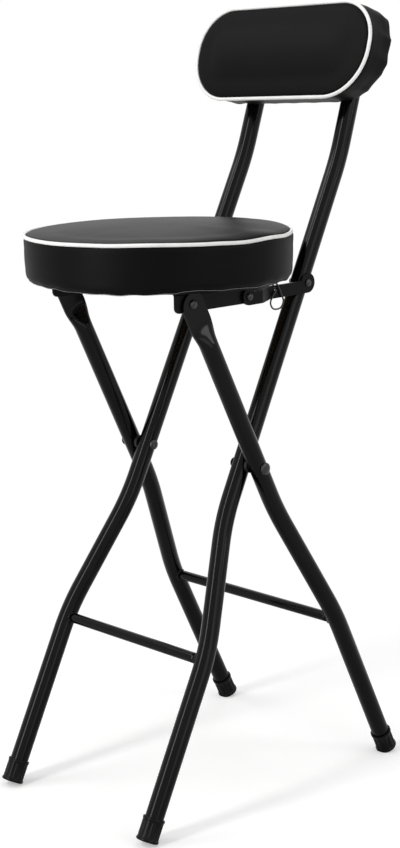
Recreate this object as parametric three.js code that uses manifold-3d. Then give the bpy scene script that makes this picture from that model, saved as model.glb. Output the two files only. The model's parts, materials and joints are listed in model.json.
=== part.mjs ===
// Folding bar stool: two crossed frames of bent steel tube, a round padded seat on
// hinged side rails, two joggled folding links, a pull ring and a padded backrest.
// Millimetres and degrees, +Z up. A sitter faces -Y, and +X is on the right of someone
// who looks along +Y. The origin is on the floor, under the middle of the stool.

import * as THREE from "three";
import { mergeVertices } from "three/addons/utils/BufferGeometryUtils.js";
import Module from "manifold-3d";

const wasm = await Module();
wasm.setup();

// Steel tube of both frames
const tubeDiameter = 22.2;
const tubeWall = 1.2;
const tubeRadius = tubeDiameter / 2;
const boreRadius = tubeRadius - tubeWall;
const tubeSides = 16;

// Crossing of the two frames; lengths along a leg are counted from the cross pivot
const crossPivotHeight = 406.3;
const legLean = 26.75;
const splayBendRadius = 240;
const bendSteps = 4;

// Back frame: uprights above, front feet below; half spreads are to tube centres
const uprightFootHalfSpread = 122.3;
const uprightKneeHalfSpread = 82.7;
const uprightTopHalfSpread = 77.4;
const uprightSplayLow = 224;
const uprightSplayHigh = 70;
const uprightBendHeight = 393.5;
const uprightBendRadius = 300;
const uprightTopLean = 18;
const uprightTopLength = 154;
const footrestDrop = 235.4;

// Front frame: front legs above, rear feet below
const legFootHalfSpread = 143.3;
const legKneeHalfSpread = 109.9;
const legTopHalfSpread = 107.2;
const legSplayLow = 221.5;
const legSplayHigh = 63.5;
const legTopPivot = 230;
const crimpTaperLength = 36;
const crimpPivotMargin = 24;
const crimpThickness = 2.8;
const crimpEndMargin = 13;
const crimpSteps = 7;
const rearBarDrop = 230.5;

const barDiameter = 12.7;
const barWall = 1.2;
const barSides = 14;

// Gaps between pieces that touch on the real stool
const seatedGap = 0.3;
const plateGap = 0.4;
const pinClearance = 0.3;

// Rubber feet
const footLength = 28;
const footSole = 4;
const footWall = 1.2;
const footLip = 0.5;
const footLipHeight = 2;
const footBaseFlare = 0.55;
const footBaseHeight = 3.5;
const footSoleRounding = 0.8;
const footWear = 1.46;
const footFlutes = 10;
const footFluteSteps = 4;
const footFluteDepth = 0.45;

// Plastic plugs in the upright tops
const plugDome = 3;
const plugStem = 8;
const plugStemThickness = 1.6;

// Cross pivot
const crossRivetRadius = 4;
const crossHeadRadius = 7.5;
const crossHeadHeight = 3;
const crossTailRadius = 6.5;
const crossTailHeight = 2.4;
const spacerRadius = 8.5;

// Seat rails
const railThickness = 2.5;
const railFlangeWidth = 20;
const railBendRadius = 3;
const railFrontMargin = 24.7;
const railBottomMargin = 9;
const railFrontRounding = 7;

// Rivets at the leg top and at both ends of a link
const legRivetRadius = 3;
const legHeadRadius = 5.4;
const legHeadHeight = 2.6;
const legTailRadius = 4.6;
const legTailHeight = 1.8;
const linkRivetRadius = 2.6;
const linkHeadRadius = 4.6;
const linkHeadHeight = 2.4;
const rivetTailTaperShare = 0.8;

// Links
const linkThickness = 3;
const linkBarHeight = 15.3;
const linkFrontRadius = 10;
const linkRearRadius = 12;
const linkRearExtension = 2;
const linkFrontDistance = 91.02;
const linkFrontDrop = 1.18;
const joggleStart = 22.5;
const joggleEnd = 50;
const joggleBendRadius = 7;

// Pull ring and its hole, placed on the right link
const ringWire = 2;
const ringHoleRadius = 2.4;
const ringHoleDistance = 57.12;
const ringHoleMargin = 4.6;
const ringDrop = 23.5;
const ringHalfWidth = 11.5;
const ringTurnRadius = 3.3;
const ringSteps = 44;
const ringSides = 6;

// Round seat
const seatRadius = 157.3;
const seatBaseRise = 15.8;
const seatUprightDistance = 151;
const seatWallHeight = 54.4;
const seatCrown = 8;
const seatWallTuck = 4.5;
const seatBaseRounding = 4;
const seatBoardInset = 10;
const seatBoardThickness = 12;
const seatSides = 36;

// Covers, piping and hems of both cushions
const pipingDiameter = 4.4;
const pipingGap = 0.3;
const coverThickness = 1.2;
const hemWidth = 12;
const pipingSides = 6;

// Backrest; the pad sits slightly askew on its uprights, as on the photographed stool
const backrestHalfWidth = 140.4;
const backrestHalfHeight = 58.4;
const backrestTopRadius = 52;
const backrestBottomRadius = 58;
const backrestTopMargin = 38.5;
const backrestFaceOffset = 58.1;
const backrestSkewAngle = 1.7;
const backrestCrown = 5;
const backrestWallTuck = 9;
const backrestBaseRounding = 3;
const backrestBoardInset = 15;
const backrestBoardThickness = 9;
const backrestCornerSteps = 8;

// Screws
const screwRadius = 2.4;
const screwHeadRadius = 4.6;
const screwHeadHeight = 2.6;
const screwBite = 8;
const seatScrewFrontMargin = 28;
const seatScrewRearMargin = 31.3;
const seatScrewInset = 12;
const backrestScrewSpacing = 44;
const screwCrownShare = 0.6;
const screwRimShare = 0.5;
const screwSides = 10;
const rivetSides = 14;
const domeSteps = 4;

const cutOverrun = 1;
const weldDistance = 0.0001;

const steel = { color: 0x0d0d0e, roughness: 0.3, metalness: 0.4 };
const rivetSteel = { color: 0x161617, roughness: 0.35, metalness: 0.5 };
const rubber = { color: 0x111112, roughness: 0.75, metalness: 0 };
const plastic = { color: 0x151515, roughness: 0.5, metalness: 0 };
const vinyl = { color: 0x1c1c1e, roughness: 0.55, metalness: 0 };
const pipingVinyl = { color: 0xf2f2f0, roughness: 0.5, metalness: 0 };
const board = { color: 0x8a6a45, roughness: 0.8, metalness: 0 };
const zinc = { color: 0x8d8f92, roughness: 0.4, metalness: 0.8 };

const alongX = new THREE.Vector3(1, 0, 0);

function radians(degrees) {
  return THREE.MathUtils.degToRad(degrees);
}

// Solids

function solidOf(geometry) {
  const bare = geometry.clone();
  bare.deleteAttribute("normal");
  bare.deleteAttribute("uv");
  const merged = mergeVertices(bare, weldDistance);
  const vertProperties = new Float32Array(merged.getAttribute("position").array);
  const triVerts = new Uint32Array(merged.getIndex().array);
  return new wasm.Manifold(new wasm.Mesh({ numProp: 3, vertProperties, triVerts }));
}

function geometryOf(solid) {
  const { vertProperties, triVerts } = solid.getMesh();
  const geometry = new THREE.BufferGeometry();
  geometry.setAttribute("position", new THREE.BufferAttribute(vertProperties, 3));
  geometry.setIndex(new THREE.BufferAttribute(triVerts, 1));
  geometry.computeVertexNormals();
  return geometry;
}

function cut(geometry, ...tools) {
  let solid = solidOf(geometry);
  for (const tool of tools) solid = solid.subtract(solidOf(tool));
  return geometryOf(solid);
}

function join(geometry, ...others) {
  let solid = solidOf(geometry);
  for (const other of others) solid = solid.add(solidOf(other));
  return geometryOf(solid);
}

function overlapOf(geometry, other) {
  return geometryOf(solidOf(geometry).intersect(solidOf(other)));
}

// The same shape on the other side of the plane X = 0
function mirrored(geometry) {
  const copy = geometry.index ? geometry.clone() : mergeVertices(geometry);
  copy.scale(-1, 1, 1);
  const index = copy.getIndex();
  for (let i = 0; i < index.count; i += 3) {
    const first = index.getX(i);
    index.setX(i, index.getX(i + 1));
    index.setX(i + 1, first);
  }
  copy.computeVertexNormals();
  return copy;
}

// A closed skin through rings of equal point counts, each counter-clockwise about the
// direction of travel. Open ends get a cap; a looped skin joins its last ring to the first.
function loft(rings, looped = false) {
  const sides = rings[0].length;
  const positions = [];
  const index = [];
  for (const ring of rings) {
    for (const point of ring) positions.push(point.x, point.y, point.z);
  }
  const spans = looped ? rings.length : rings.length - 1;
  for (let i = 0; i < spans; i += 1) {
    const here = i * sides;
    const there = ((i + 1) % rings.length) * sides;
    for (let j = 0; j < sides; j += 1) {
      const k = (j + 1) % sides;
      index.push(here + j, here + k, there + k);
      index.push(here + j, there + k, there + j);
    }
  }
  if (!looped) {
    const last = (rings.length - 1) * sides;
    const startCentre = positions.length / 3;
    positions.push(...middleOf(rings[0]).toArray());
    const endCentre = positions.length / 3;
    positions.push(...middleOf(rings[rings.length - 1]).toArray());
    for (let j = 0; j < sides; j += 1) {
      const k = (j + 1) % sides;
      index.push(startCentre, k, j);
      index.push(endCentre, last + j, last + k);
    }
  }
  const geometry = new THREE.BufferGeometry();
  geometry.setAttribute("position", new THREE.Float32BufferAttribute(positions, 3));
  geometry.setIndex(index);
  geometry.computeVertexNormals();
  return geometry;
}

function middleOf(points) {
  const middle = new THREE.Vector3();
  for (const point of points) middle.add(point);
  return middle.divideScalar(points.length);
}

function cylinderAlongX(radius, fromX, toX, y, z, sides) {
  const geometry = new THREE.CylinderGeometry(radius, radius, toX - fromX, sides);
  geometry.rotateZ(-Math.PI / 2);
  geometry.translate((fromX + toX) / 2, y, z);
  return geometry;
}

function cylinderAlongY(radius, fromY, toY, x, z, sides) {
  const geometry = new THREE.CylinderGeometry(radius, radius, toY - fromY, sides);
  geometry.translate(x, (fromY + toY) / 2, z);
  return geometry;
}

function cylinderAlongZ(radius, fromZ, toZ, x, y, sides) {
  const geometry = new THREE.CylinderGeometry(radius, radius, toZ - fromZ, sides);
  geometry.rotateX(Math.PI / 2);
  geometry.translate(x, y, (fromZ + toZ) / 2);
  return geometry;
}

function boxBetween(low, high) {
  const geometry = new THREE.BoxGeometry(high.x - low.x, high.y - low.y, high.z - low.z);
  geometry.translate((low.x + high.x) / 2, (low.y + high.y) / 2, (low.z + high.z) / 2);
  return geometry;
}

// A prism whose outline lies in the YZ plane, between two X values
function prismAlongX(shape, fromX, toX) {
  const geometry = new THREE.ExtrudeGeometry(shape, {
    depth: toX - fromX,
    bevelEnabled: false,
    curveSegments: rivetSides,
  });
  geometry.rotateX(Math.PI / 2);
  geometry.rotateZ(Math.PI / 2);
  geometry.translate(fromX, 0, 0);
  return geometry;
}

function meshOf(name, geometry, finish) {
  const mesh = new THREE.Mesh(geometry, new THREE.MeshStandardMaterial(finish));
  mesh.name = name;
  return mesh;
}

// Adds the right-hand piece and its mirror image
function addPair(group, name, geometry, finish) {
  group.add(meshOf(`${name}_right`, geometry, finish));
  group.add(meshOf(`${name}_left`, mirrored(geometry), finish));
}

// Bent tube

// Points and directions along a route with rounded corners
function stationsAlong(corners, bendRadii) {
  const stations = [];
  const last = corners.length - 1;
  const startWay = corners[1].clone().sub(corners[0]).normalize();
  stations.push({ at: corners[0].clone(), way: startWay });
  for (let i = 1; i < last; i += 1) {
    const before = corners[i].clone().sub(corners[i - 1]).normalize();
    const after = corners[i + 1].clone().sub(corners[i]).normalize();
    const turn = before.angleTo(after);
    const setback = bendRadii[i - 1] * Math.tan(turn / 2);
    const inward = after.clone().addScaledVector(before, -after.dot(before)).normalize();
    const start = corners[i].clone().addScaledVector(before, -setback);
    for (let k = 0; k <= bendSteps; k += 1) {
      const angle = (turn * k) / bendSteps;
      const at = start.clone();
      at.addScaledVector(before, bendRadii[i - 1] * Math.sin(angle));
      at.addScaledVector(inward, bendRadii[i - 1] * (1 - Math.cos(angle)));
      const way = before.clone().multiplyScalar(Math.cos(angle));
      way.addScaledVector(inward, Math.sin(angle));
      stations.push({ at, way });
    }
  }
  const endWay = corners[last].clone().sub(corners[last - 1]).normalize();
  stations.push({ at: corners[last].clone(), way: endWay });
  return stations;
}

// Ring of a tube at a station. Pressing flat moves each point from the circle towards
// a thin slot shape: straight sides that face X, and rounded tips along the other axis.
function tubeRing(station, radius, pressed = 0, slot = null) {
  const sideways = alongX.clone().addScaledVector(station.way, -station.way.x).normalize();
  const across = station.way.clone().cross(sideways);
  const tipSine = Math.cos(Math.PI / tubeSides);
  const ring = [];
  for (let j = 0; j < tubeSides; j += 1) {
    const angle = (2 * Math.PI * j) / tubeSides;
    let offset = radius * Math.cos(angle);
    let spread = radius * Math.sin(angle);
    if (pressed > 0) {
      const sine = Math.sin(angle);
      const atTip = Math.abs(sine) > tipSine;
      const flatOffset = atTip ? 0 : Math.sign(Math.cos(angle)) * slot.halfThickness;
      const straight = slot.halfWidth - slot.halfThickness;
      const stretch = Math.sin(Math.PI / 2 - (2 * Math.PI) / tubeSides);
      const flatSpread = atTip ? Math.sign(sine) * slot.halfWidth : (straight * sine) / stretch;
      offset += (flatOffset - offset) * pressed;
      spread += (flatSpread - spread) * pressed;
    }
    const point = station.at.clone();
    point.addScaledVector(sideways, offset);
    point.addScaledVector(across, spread);
    ring.push(point);
  }
  return ring;
}

function openTube(stations) {
  const outside = stations.map((station) => tubeRing(station, tubeRadius));
  const inside = stations.map((station) => tubeRing(station, boreRadius));
  return loft([...outside, ...inside.reverse()], true);
}

// Straight taper of a tube's half spread between two lengths along the frame
function spreadBetween(length, lowLength, lowSpread, highLength, highSpread) {
  return THREE.MathUtils.mapLinear(length, lowLength, highLength, lowSpread, highSpread);
}

function uprightSpreadAt(length) {
  const top = uprightBendHeight + uprightTopLength;
  return spreadBetween(length, -uprightSplayHigh, uprightKneeHalfSpread, top, uprightTopHalfSpread);
}

const legTopLength = legTopPivot + crimpEndMargin;

function legSpreadAt(length) {
  return spreadBetween(length, -legSplayHigh, legKneeHalfSpread, legTopLength, legTopHalfSpread);
}

// Frames stand in their own axes, with Z along the leg, and are then leaned. The legs reach
// as far below the cross pivot as puts the worn edges of the feet on the floor.
const lean = radians(legLean);
const footRadius = tubeRadius + seatedGap + footWall;
const soleRadius = footRadius + footBaseFlare;
const legBelowPivot = (crossPivotHeight + footWear) / Math.cos(lean) - soleRadius * Math.tan(lean);
const tubeStart = -(legBelowPivot - footSole - seatedGap);
const uprightStraightening = legLean - uprightTopLean;
const linkPivotLength = legTopPivot + linkRearExtension;
const backrestRise = uprightTopLength - backrestTopMargin;
const crimpEnd = legTopPivot - crimpPivotMargin;
const crimpStart = crimpEnd - crimpTaperLength;

// Half the width of a tube pressed flat, from its unchanged girth
const crimpHalfThickness = crimpThickness / 2;
const girth = 2 * Math.PI * tubeRadius;
const crimpHalfWidth = (girth - 2 * Math.PI * crimpHalfThickness) / 4 + crimpHalfThickness;

// Rivet with a domed head towards +X and a flat tail button, on its own X axis.
// span is the length between the two faces that the head and the tail bear on.
function rivetAlongX({ shank, head, headHeight, tail, tailHeight, fromX, span }) {
  const profile = [];
  if (tailHeight > 0) {
    profile.push(new THREE.Vector2(0, -tailHeight));
    profile.push(new THREE.Vector2(tail * rivetTailTaperShare, -tailHeight));
    profile.push(new THREE.Vector2(tail, 0));
  } else {
    profile.push(new THREE.Vector2(0, 0));
  }
  profile.push(new THREE.Vector2(shank, 0));
  if (headHeight > 0) {
    profile.push(new THREE.Vector2(shank, span));
    for (let k = 0; k < domeSteps; k += 1) {
      const angle = ((Math.PI / 2) * k) / domeSteps;
      const radius = head * Math.cos(angle);
      profile.push(new THREE.Vector2(radius, span + headHeight * Math.sin(angle)));
    }
    profile.push(new THREE.Vector2(0, span + headHeight));
  } else {
    profile.push(new THREE.Vector2(shank, span));
    profile.push(new THREE.Vector2(0, span));
  }
  const geometry = new THREE.LatheGeometry(profile, rivetSides);
  geometry.rotateZ(-Math.PI / 2);
  geometry.translate(fromX, 0, 0);
  return geometry;
}

// Back frame

const innerAtPivot = uprightSpreadAt(0);
const outerAtPivot = legSpreadAt(0);

function uprightCorners() {
  const bendSpread = uprightSpreadAt(uprightBendHeight);
  const turn = radians(uprightStraightening);
  return [
    new THREE.Vector3(uprightFootHalfSpread, 0, tubeStart),
    new THREE.Vector3(uprightFootHalfSpread, 0, -uprightSplayLow),
    new THREE.Vector3(uprightKneeHalfSpread, 0, -uprightSplayHigh),
    new THREE.Vector3(bendSpread, 0, uprightBendHeight),
    new THREE.Vector3(
      uprightTopHalfSpread,
      -uprightTopLength * Math.sin(turn),
      uprightBendHeight + uprightTopLength * Math.cos(turn),
    ),
  ];
}

// Place and direction of the straight top stretch that holds the backrest
function uprightTopPoint(length) {
  const turn = radians(uprightStraightening);
  const spread = uprightSpreadAt(uprightBendHeight + length);
  const y = -length * Math.sin(turn);
  return new THREE.Vector3(spread, y, uprightBendHeight + length * Math.cos(turn));
}

const backrestScrewRises = [
  backrestRise - backrestScrewSpacing / 2,
  backrestRise + backrestScrewSpacing / 2,
];

function screwBoreThroughUpright(length) {
  const point = uprightTopPoint(length);
  const reach = tubeDiameter;
  const bore = cylinderAlongY(screwRadius + pinClearance, -reach, reach, 0, 0, screwSides);
  bore.rotateX(radians(uprightStraightening));
  bore.translate(point.x, point.y, point.z);
  return bore;
}

function pivotBore(radius, spread, length) {
  const reach = tubeRadius + cutOverrun;
  return cylinderAlongX(radius + pinClearance, spread - reach, spread + reach, 0, length, rivetSides);
}

const uprightStations = stationsAlong(
  uprightCorners(),
  [splayBendRadius, splayBendRadius, uprightBendRadius],
);

function uprightTube() {
  const tube = openTube(uprightStations);
  const bores = backrestScrewRises.map(screwBoreThroughUpright);
  bores.push(pivotBore(crossRivetRadius, innerAtPivot, 0));
  bores.push(pivotBore(linkRivetRadius, uprightSpreadAt(linkPivotLength), linkPivotLength));
  return cut(tube, ...bores);
}

// Bar welded between two tubes: its ends are saddles that fit round them
function crossBar(stations, halfSpread, drop) {
  const outside = cylinderAlongX(barDiameter / 2, -halfSpread, halfSpread, 0, -drop, barSides);
  const boreRadius = barDiameter / 2 - barWall;
  const boreReach = halfSpread + cutOverrun;
  const bore = cylinderAlongX(boreRadius, -boreReach, boreReach, 0, -drop, barSides);
  const saddle = loft(stations.map((station) => tubeRing(station, tubeRadius + seatedGap)));
  return cut(outside, bore, saddle, mirrored(saddle));
}

// Domed plug pressed into the open top of an upright
function uprightPlug() {
  const stem = boreRadius - seatedGap;
  const profile = [
    new THREE.Vector2(0, -plugStemThickness),
    new THREE.Vector2(stem - plugStemThickness, -plugStemThickness),
    new THREE.Vector2(stem - plugStemThickness, -plugStem),
    new THREE.Vector2(stem, -plugStem),
    new THREE.Vector2(stem, seatedGap),
    new THREE.Vector2(tubeRadius, seatedGap),
  ];
  for (let k = 1; k < domeSteps; k += 1) {
    const angle = ((Math.PI / 2) * k) / domeSteps;
    const height = seatedGap + plugDome * Math.sin(angle);
    profile.push(new THREE.Vector2(tubeRadius * Math.cos(angle), height));
  }
  profile.push(new THREE.Vector2(0, seatedGap + plugDome));
  const plug = new THREE.LatheGeometry(profile, tubeSides);
  plug.rotateX(Math.PI / 2);
  const corners = uprightCorners();
  const end = corners[corners.length - 1];
  const way = end.clone().sub(corners[corners.length - 2]).normalize();
  plug.applyQuaternion(new THREE.Quaternion().setFromUnitVectors(new THREE.Vector3(0, 0, 1), way));
  plug.translate(end.x, end.y, end.z);
  return plug;
}

// Rubber foot

function flutedRing(radius, depth, height) {
  const ring = [];
  const count = footFlutes * footFluteSteps;
  for (let j = 0; j < count; j += 1) {
    const angle = (2 * Math.PI * j) / count;
    const r = j % footFluteSteps < footFluteSteps / 2 ? radius : radius - depth;
    ring.push(new THREE.Vector3(r * Math.cos(angle), r * Math.sin(angle), height));
  }
  return ring;
}

function rubberFoot(halfSpread, tilt) {
  const bore = tubeRadius + seatedGap;
  const lipStart = footLength - footLipHeight;
  const rings = [
    flutedRing(bore, 0, footSole),
    flutedRing(bore, 0, footLength),
    flutedRing(footRadius + footLip, 0, footLength),
    flutedRing(footRadius + footLip, 0, lipStart),
    flutedRing(footRadius, footFluteDepth, lipStart - footLip),
    flutedRing(footRadius, footFluteDepth, footBaseHeight + footBaseFlare),
    flutedRing(soleRadius, 0, footBaseHeight),
    flutedRing(soleRadius, 0, footSoleRounding),
    flutedRing(soleRadius - footSoleRounding, 0, 0),
  ];
  // From the bore down the outside, so the rings turn the other way about the travel
  const foot = loft(rings.map((ring) => ring.reverse()));
  foot.translate(halfSpread, 0, -legBelowPivot);
  return cut(foot, floorBelow(halfSpread, tilt));
}

// The floor as a block, in the axes of a frame that leans by the given angle. The lowest
// edge of a foot is worn flat on it.
function floorBelow(halfSpread, tilt) {
  const size = footLength * 2;
  const block = boxBetween(
    new THREE.Vector3(-size, -size, -size),
    new THREE.Vector3(size, size, 0),
  );
  block.translate(0, -legBelowPivot * Math.sin(tilt), -crossPivotHeight);
  block.rotateX(tilt);
  block.translate(halfSpread, 0, 0);
  return block;
}

// Front frame

function legCorners() {
  return [
    new THREE.Vector3(legFootHalfSpread, 0, tubeStart),
    new THREE.Vector3(legFootHalfSpread, 0, -legSplayLow),
    new THREE.Vector3(legKneeHalfSpread, 0, -legSplayHigh),
    new THREE.Vector3(legSpreadAt(crimpStart), 0, crimpStart),
  ];
}

const legStations = stationsAlong(legCorners(), [splayBendRadius, splayBendRadius]);
const boreEndShare = 0.85;

// Front leg: round tube that is pressed flat towards its top and rounded off there
function frontLegTube() {
  const slot = { halfThickness: crimpHalfThickness, halfWidth: crimpHalfWidth };
  const boreSlot = { halfThickness: seatedGap, halfWidth: crimpHalfWidth - tubeWall };
  const way = legStations[legStations.length - 1].way;
  const outside = legStations.map((station) => tubeRing(station, tubeRadius));
  const inside = legStations.map((station) => tubeRing(station, boreRadius));
  for (let k = 1; k <= crimpSteps; k += 1) {
    const share = k / crimpSteps;
    const length = THREE.MathUtils.lerp(crimpStart, crimpEnd, share);
    const pressed = THREE.MathUtils.smoothstep(share, 0, 1);
    const station = { at: new THREE.Vector3(legSpreadAt(length), 0, length), way };
    outside.push(tubeRing(station, tubeRadius, pressed, slot));
    if (share <= boreEndShare) inside.push(tubeRing(station, boreRadius, pressed, boreSlot));
  }
  const end = { at: new THREE.Vector3(legTopHalfSpread, 0, legTopLength), way };
  outside.push(tubeRing(end, tubeRadius, 1, slot));
  const tube = loft([...inside.reverse(), ...outside]);
  return cut(
    tube,
    crimpCorners(),
    pivotBore(crossRivetRadius, outerAtPivot, 0),
    pivotBore(legRivetRadius, legSpreadAt(legTopPivot), legTopPivot),
  );
}

// What the rounded end takes off the flat: a block with a half-round notch
function crimpCorners() {
  const centre = legTopLength - crimpHalfWidth;
  const low = legTopHalfSpread - tubeRadius;
  const high = legTopHalfSpread + tubeRadius;
  const wide = crimpHalfWidth + cutOverrun;
  const block = boxBetween(
    new THREE.Vector3(low, -wide, centre),
    new THREE.Vector3(high, wide, legTopLength + cutOverrun),
  );
  const sides = rivetSides * 2;
  const round = cylinderAlongX(crimpHalfWidth, low - cutOverrun, high + cutOverrun, 0, centre, sides);
  return cut(block, round);
}

// Cross pivot

function crossSpacer() {
  const from = innerAtPivot + tubeRadius + seatedGap;
  const to = outerAtPivot - tubeRadius - seatedGap;
  const ring = cylinderAlongX(spacerRadius, from, to, 0, 0, rivetSides);
  const hole = crossRivetRadius + pinClearance;
  return cut(ring, cylinderAlongX(hole, from - cutOverrun, to + cutOverrun, 0, 0, rivetSides));
}

function crossRivet() {
  const from = innerAtPivot - tubeRadius - seatedGap;
  const to = outerAtPivot + tubeRadius + seatedGap;
  return rivetAlongX({
    shank: crossRivetRadius,
    head: crossHeadRadius,
    headHeight: crossHeadHeight,
    tail: crossTailRadius,
    tailHeight: crossTailHeight,
    fromX: from,
    span: to - from,
  });
}

// Pivots of the seat mechanism, as places in the stool's own axes with Y from the cross pivot

function onFrame(length, tilt) {
  return new THREE.Vector3(0, length * Math.sin(tilt), crossPivotHeight + length * Math.cos(tilt));
}

const legTop = onFrame(legTopPivot, -lean);
const linkRear = onFrame(linkPivotLength, lean);
const linkFront = new THREE.Vector3(0, linkFrontDistance, -linkFrontDrop).add(legTop);

// The seat lies on its rails just above the leg tops, ahead of the faces of the uprights
const seatBaseHeight = legTop.z + seatBaseRise;
const uprightFaceY = (seatBaseHeight - crossPivotHeight) * Math.tan(lean) - tubeRadius / Math.cos(lean);
const seatCentreY = uprightFaceY - seatUprightDistance;

// Layers of the flat pieces, outwards: upright, link tail, rail, crimped leg and link front
const crimpInnerFace = legSpreadAt(legTopPivot) - crimpHalfThickness;
const railOuterFace = crimpInnerFace - plateGap;
const railInnerFace = railOuterFace - railThickness;
const linkFrontFace = railOuterFace + plateGap;
const linkRearFace = uprightSpreadAt(linkPivotLength) + tubeRadius + plateGap;

function legTopRivet() {
  const from = railInnerFace - seatedGap;
  const to = crimpInnerFace + crimpThickness + seatedGap;
  const rivet = rivetAlongX({
    shank: legRivetRadius,
    head: legHeadRadius,
    headHeight: legHeadHeight,
    tail: legTailRadius,
    tailHeight: legTailHeight,
    fromX: from,
    span: to - from,
  });
  rivet.translate(0, legTop.y, legTop.z);
  return rivet;
}

function linkFrontRivet() {
  const from = railInnerFace - seatedGap;
  const to = linkFrontFace + linkThickness + seatedGap;
  const rivet = rivetAlongX({
    shank: linkRivetRadius,
    head: linkHeadRadius,
    headHeight: linkHeadHeight,
    tail: linkHeadRadius,
    tailHeight: legTailHeight,
    fromX: from,
    span: to - from,
  });
  rivet.translate(0, linkFront.y, linkFront.z);
  return rivet;
}

// The rear rivet is split between the link and the upright, where the linkage is opened
function linkRearHead() {
  const rivet = rivetAlongX({
    shank: linkRivetRadius,
    head: linkHeadRadius,
    headHeight: linkHeadHeight,
    tail: 0,
    tailHeight: 0,
    fromX: linkRearFace,
    span: linkThickness + seatedGap,
  });
  rivet.translate(0, linkRear.y, linkRear.z);
  return rivet;
}

function linkRearStub() {
  const spread = uprightSpreadAt(linkPivotLength);
  const from = spread - tubeRadius - seatedGap;
  const rivet = rivetAlongX({
    shank: linkRivetRadius,
    head: 0,
    headHeight: 0,
    tail: linkHeadRadius,
    tailHeight: legTailHeight,
    fromX: from,
    span: spread + tubeRadius - from,
  });
  rivet.translate(0, 0, linkPivotLength);
  return rivet;
}

// Seat rail: folded sheet, a side plate with a flange along its top

const railTop = seatBaseHeight - seatedGap;
const railBottomHeight = legTop.z - railBottomMargin;
const railFrontY = legTop.y - railFrontMargin;
const railRearRadius = linkFront.z - railBottomHeight;
const railRearY = linkFront.y + railRearRadius;

function railSideShape() {
  const shape = new THREE.Shape();
  shape.moveTo(railFrontY, railTop + cutOverrun);
  shape.lineTo(railFrontY, railBottomHeight + railFrontRounding);
  shape.absarc(
    railFrontY + railFrontRounding,
    railBottomHeight + railFrontRounding,
    railFrontRounding,
    Math.PI,
    1.5 * Math.PI,
    false,
  );
  shape.lineTo(linkFront.y, railBottomHeight);
  shape.absarc(linkFront.y, linkFront.z, railRearRadius, -Math.PI / 2, 0, false);
  shape.lineTo(railRearY, railTop + cutOverrun);
  shape.closePath();
  return shape;
}

// Cross-section of the folded sheet in X and Z, with its rolled corner
function railSectionShape() {
  const outerRadius = railBendRadius + railThickness;
  const inner = railOuterFace - railFlangeWidth;
  const bottom = railBottomHeight - cutOverrun;
  const shape = new THREE.Shape();
  shape.moveTo(railInnerFace, bottom);
  shape.lineTo(railOuterFace, bottom);
  shape.lineTo(railOuterFace, railTop - outerRadius);
  const centreX = railOuterFace - outerRadius;
  const centreZ = railTop - outerRadius;
  shape.absarc(centreX, centreZ, outerRadius, 0, Math.PI / 2, false);
  shape.lineTo(inner, railTop);
  shape.lineTo(inner, railTop - railThickness);
  shape.lineTo(centreX, railTop - railThickness);
  shape.absarc(centreX, centreZ, railBendRadius, Math.PI / 2, 0, true);
  shape.closePath();
  return shape;
}

const seatScrewX = railOuterFace - seatScrewInset;
const seatScrewYs = [railFrontY + seatScrewFrontMargin, railRearY - seatScrewRearMargin];

function seatRail() {
  const low = railFrontY - cutOverrun;
  const high = railRearY + cutOverrun;
  const folded = new THREE.ExtrudeGeometry(railSectionShape(), {
    depth: high - low,
    bevelEnabled: false,
    curveSegments: bendSteps,
  });
  folded.rotateX(Math.PI / 2);
  folded.translate(0, high, 0);
  const side = prismAlongX(railSideShape(), 0, railOuterFace + cutOverrun);
  const rail = overlapOf(folded, side);
  const from = railInnerFace - cutOverrun;
  const to = railOuterFace + cutOverrun;
  const holes = [
    cylinderAlongX(legRivetRadius + pinClearance, from, to, legTop.y, legTop.z, rivetSides),
    cylinderAlongX(linkRivetRadius + pinClearance, from, to, linkFront.y, linkFront.z, rivetSides),
  ];
  for (const y of seatScrewYs) {
    const bottom = railTop - railThickness - cutOverrun;
    const hole = screwRadius + pinClearance;
    holes.push(cylinderAlongZ(hole, bottom, railTop + cutOverrun, seatScrewX, y, screwSides));
  }
  return cut(rail, ...holes);
}

// Folding link: flat bar with round ends, joggled inwards from the rail to the upright

// Side outline of the bar between the two pivots, its lower edge touching both round ends
function linkBarShape() {
  const span = linkRear.clone().sub(linkFront);
  const length = Math.hypot(span.y, span.z);
  const tilt = Math.atan2(span.z, span.y) - Math.asin((linkRearRadius - linkFrontRadius) / length);
  const along = new THREE.Vector2(Math.cos(tilt), Math.sin(tilt));
  const down = new THREE.Vector2(along.y, -along.x);
  const front = new THREE.Vector2(linkFront.y, linkFront.z);
  const rear = new THREE.Vector2(linkRear.y, linkRear.z);
  const corners = [
    front.clone().addScaledVector(down, linkFrontRadius),
    rear.clone().addScaledVector(down, linkRearRadius),
    rear.clone().addScaledVector(down, linkRearRadius - linkBarHeight),
    front.clone().addScaledVector(down, linkFrontRadius - linkBarHeight),
  ];
  return new THREE.Shape(corners);
}

// Plan of the joggled strip in X and Y, with rolled bends
function linkStripShape() {
  const frontEnd = linkFront.y - linkFrontRadius - cutOverrun;
  const rearEnd = linkRear.y + linkRearRadius + cutOverrun;
  const middle = linkThickness / 2;
  const corners = [
    new THREE.Vector3(linkFrontFace + middle, frontEnd, 0),
    new THREE.Vector3(linkFrontFace + middle, linkFront.y + joggleStart, 0),
    new THREE.Vector3(linkRearFace + middle, linkFront.y + joggleEnd, 0),
    new THREE.Vector3(linkRearFace + middle, rearEnd, 0),
  ];
  const stations = stationsAlong(corners, [joggleBendRadius, joggleBendRadius]);
  const edge = (station, offset) => {
    const { at, way } = station;
    return new THREE.Vector2(at.x + way.y * offset, at.y - way.x * offset);
  };
  const outer = stations.map((station) => edge(station, middle));
  const inner = stations.map((station) => edge(station, -middle));
  return new THREE.Shape([...outer, ...inner.reverse()]);
}

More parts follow.
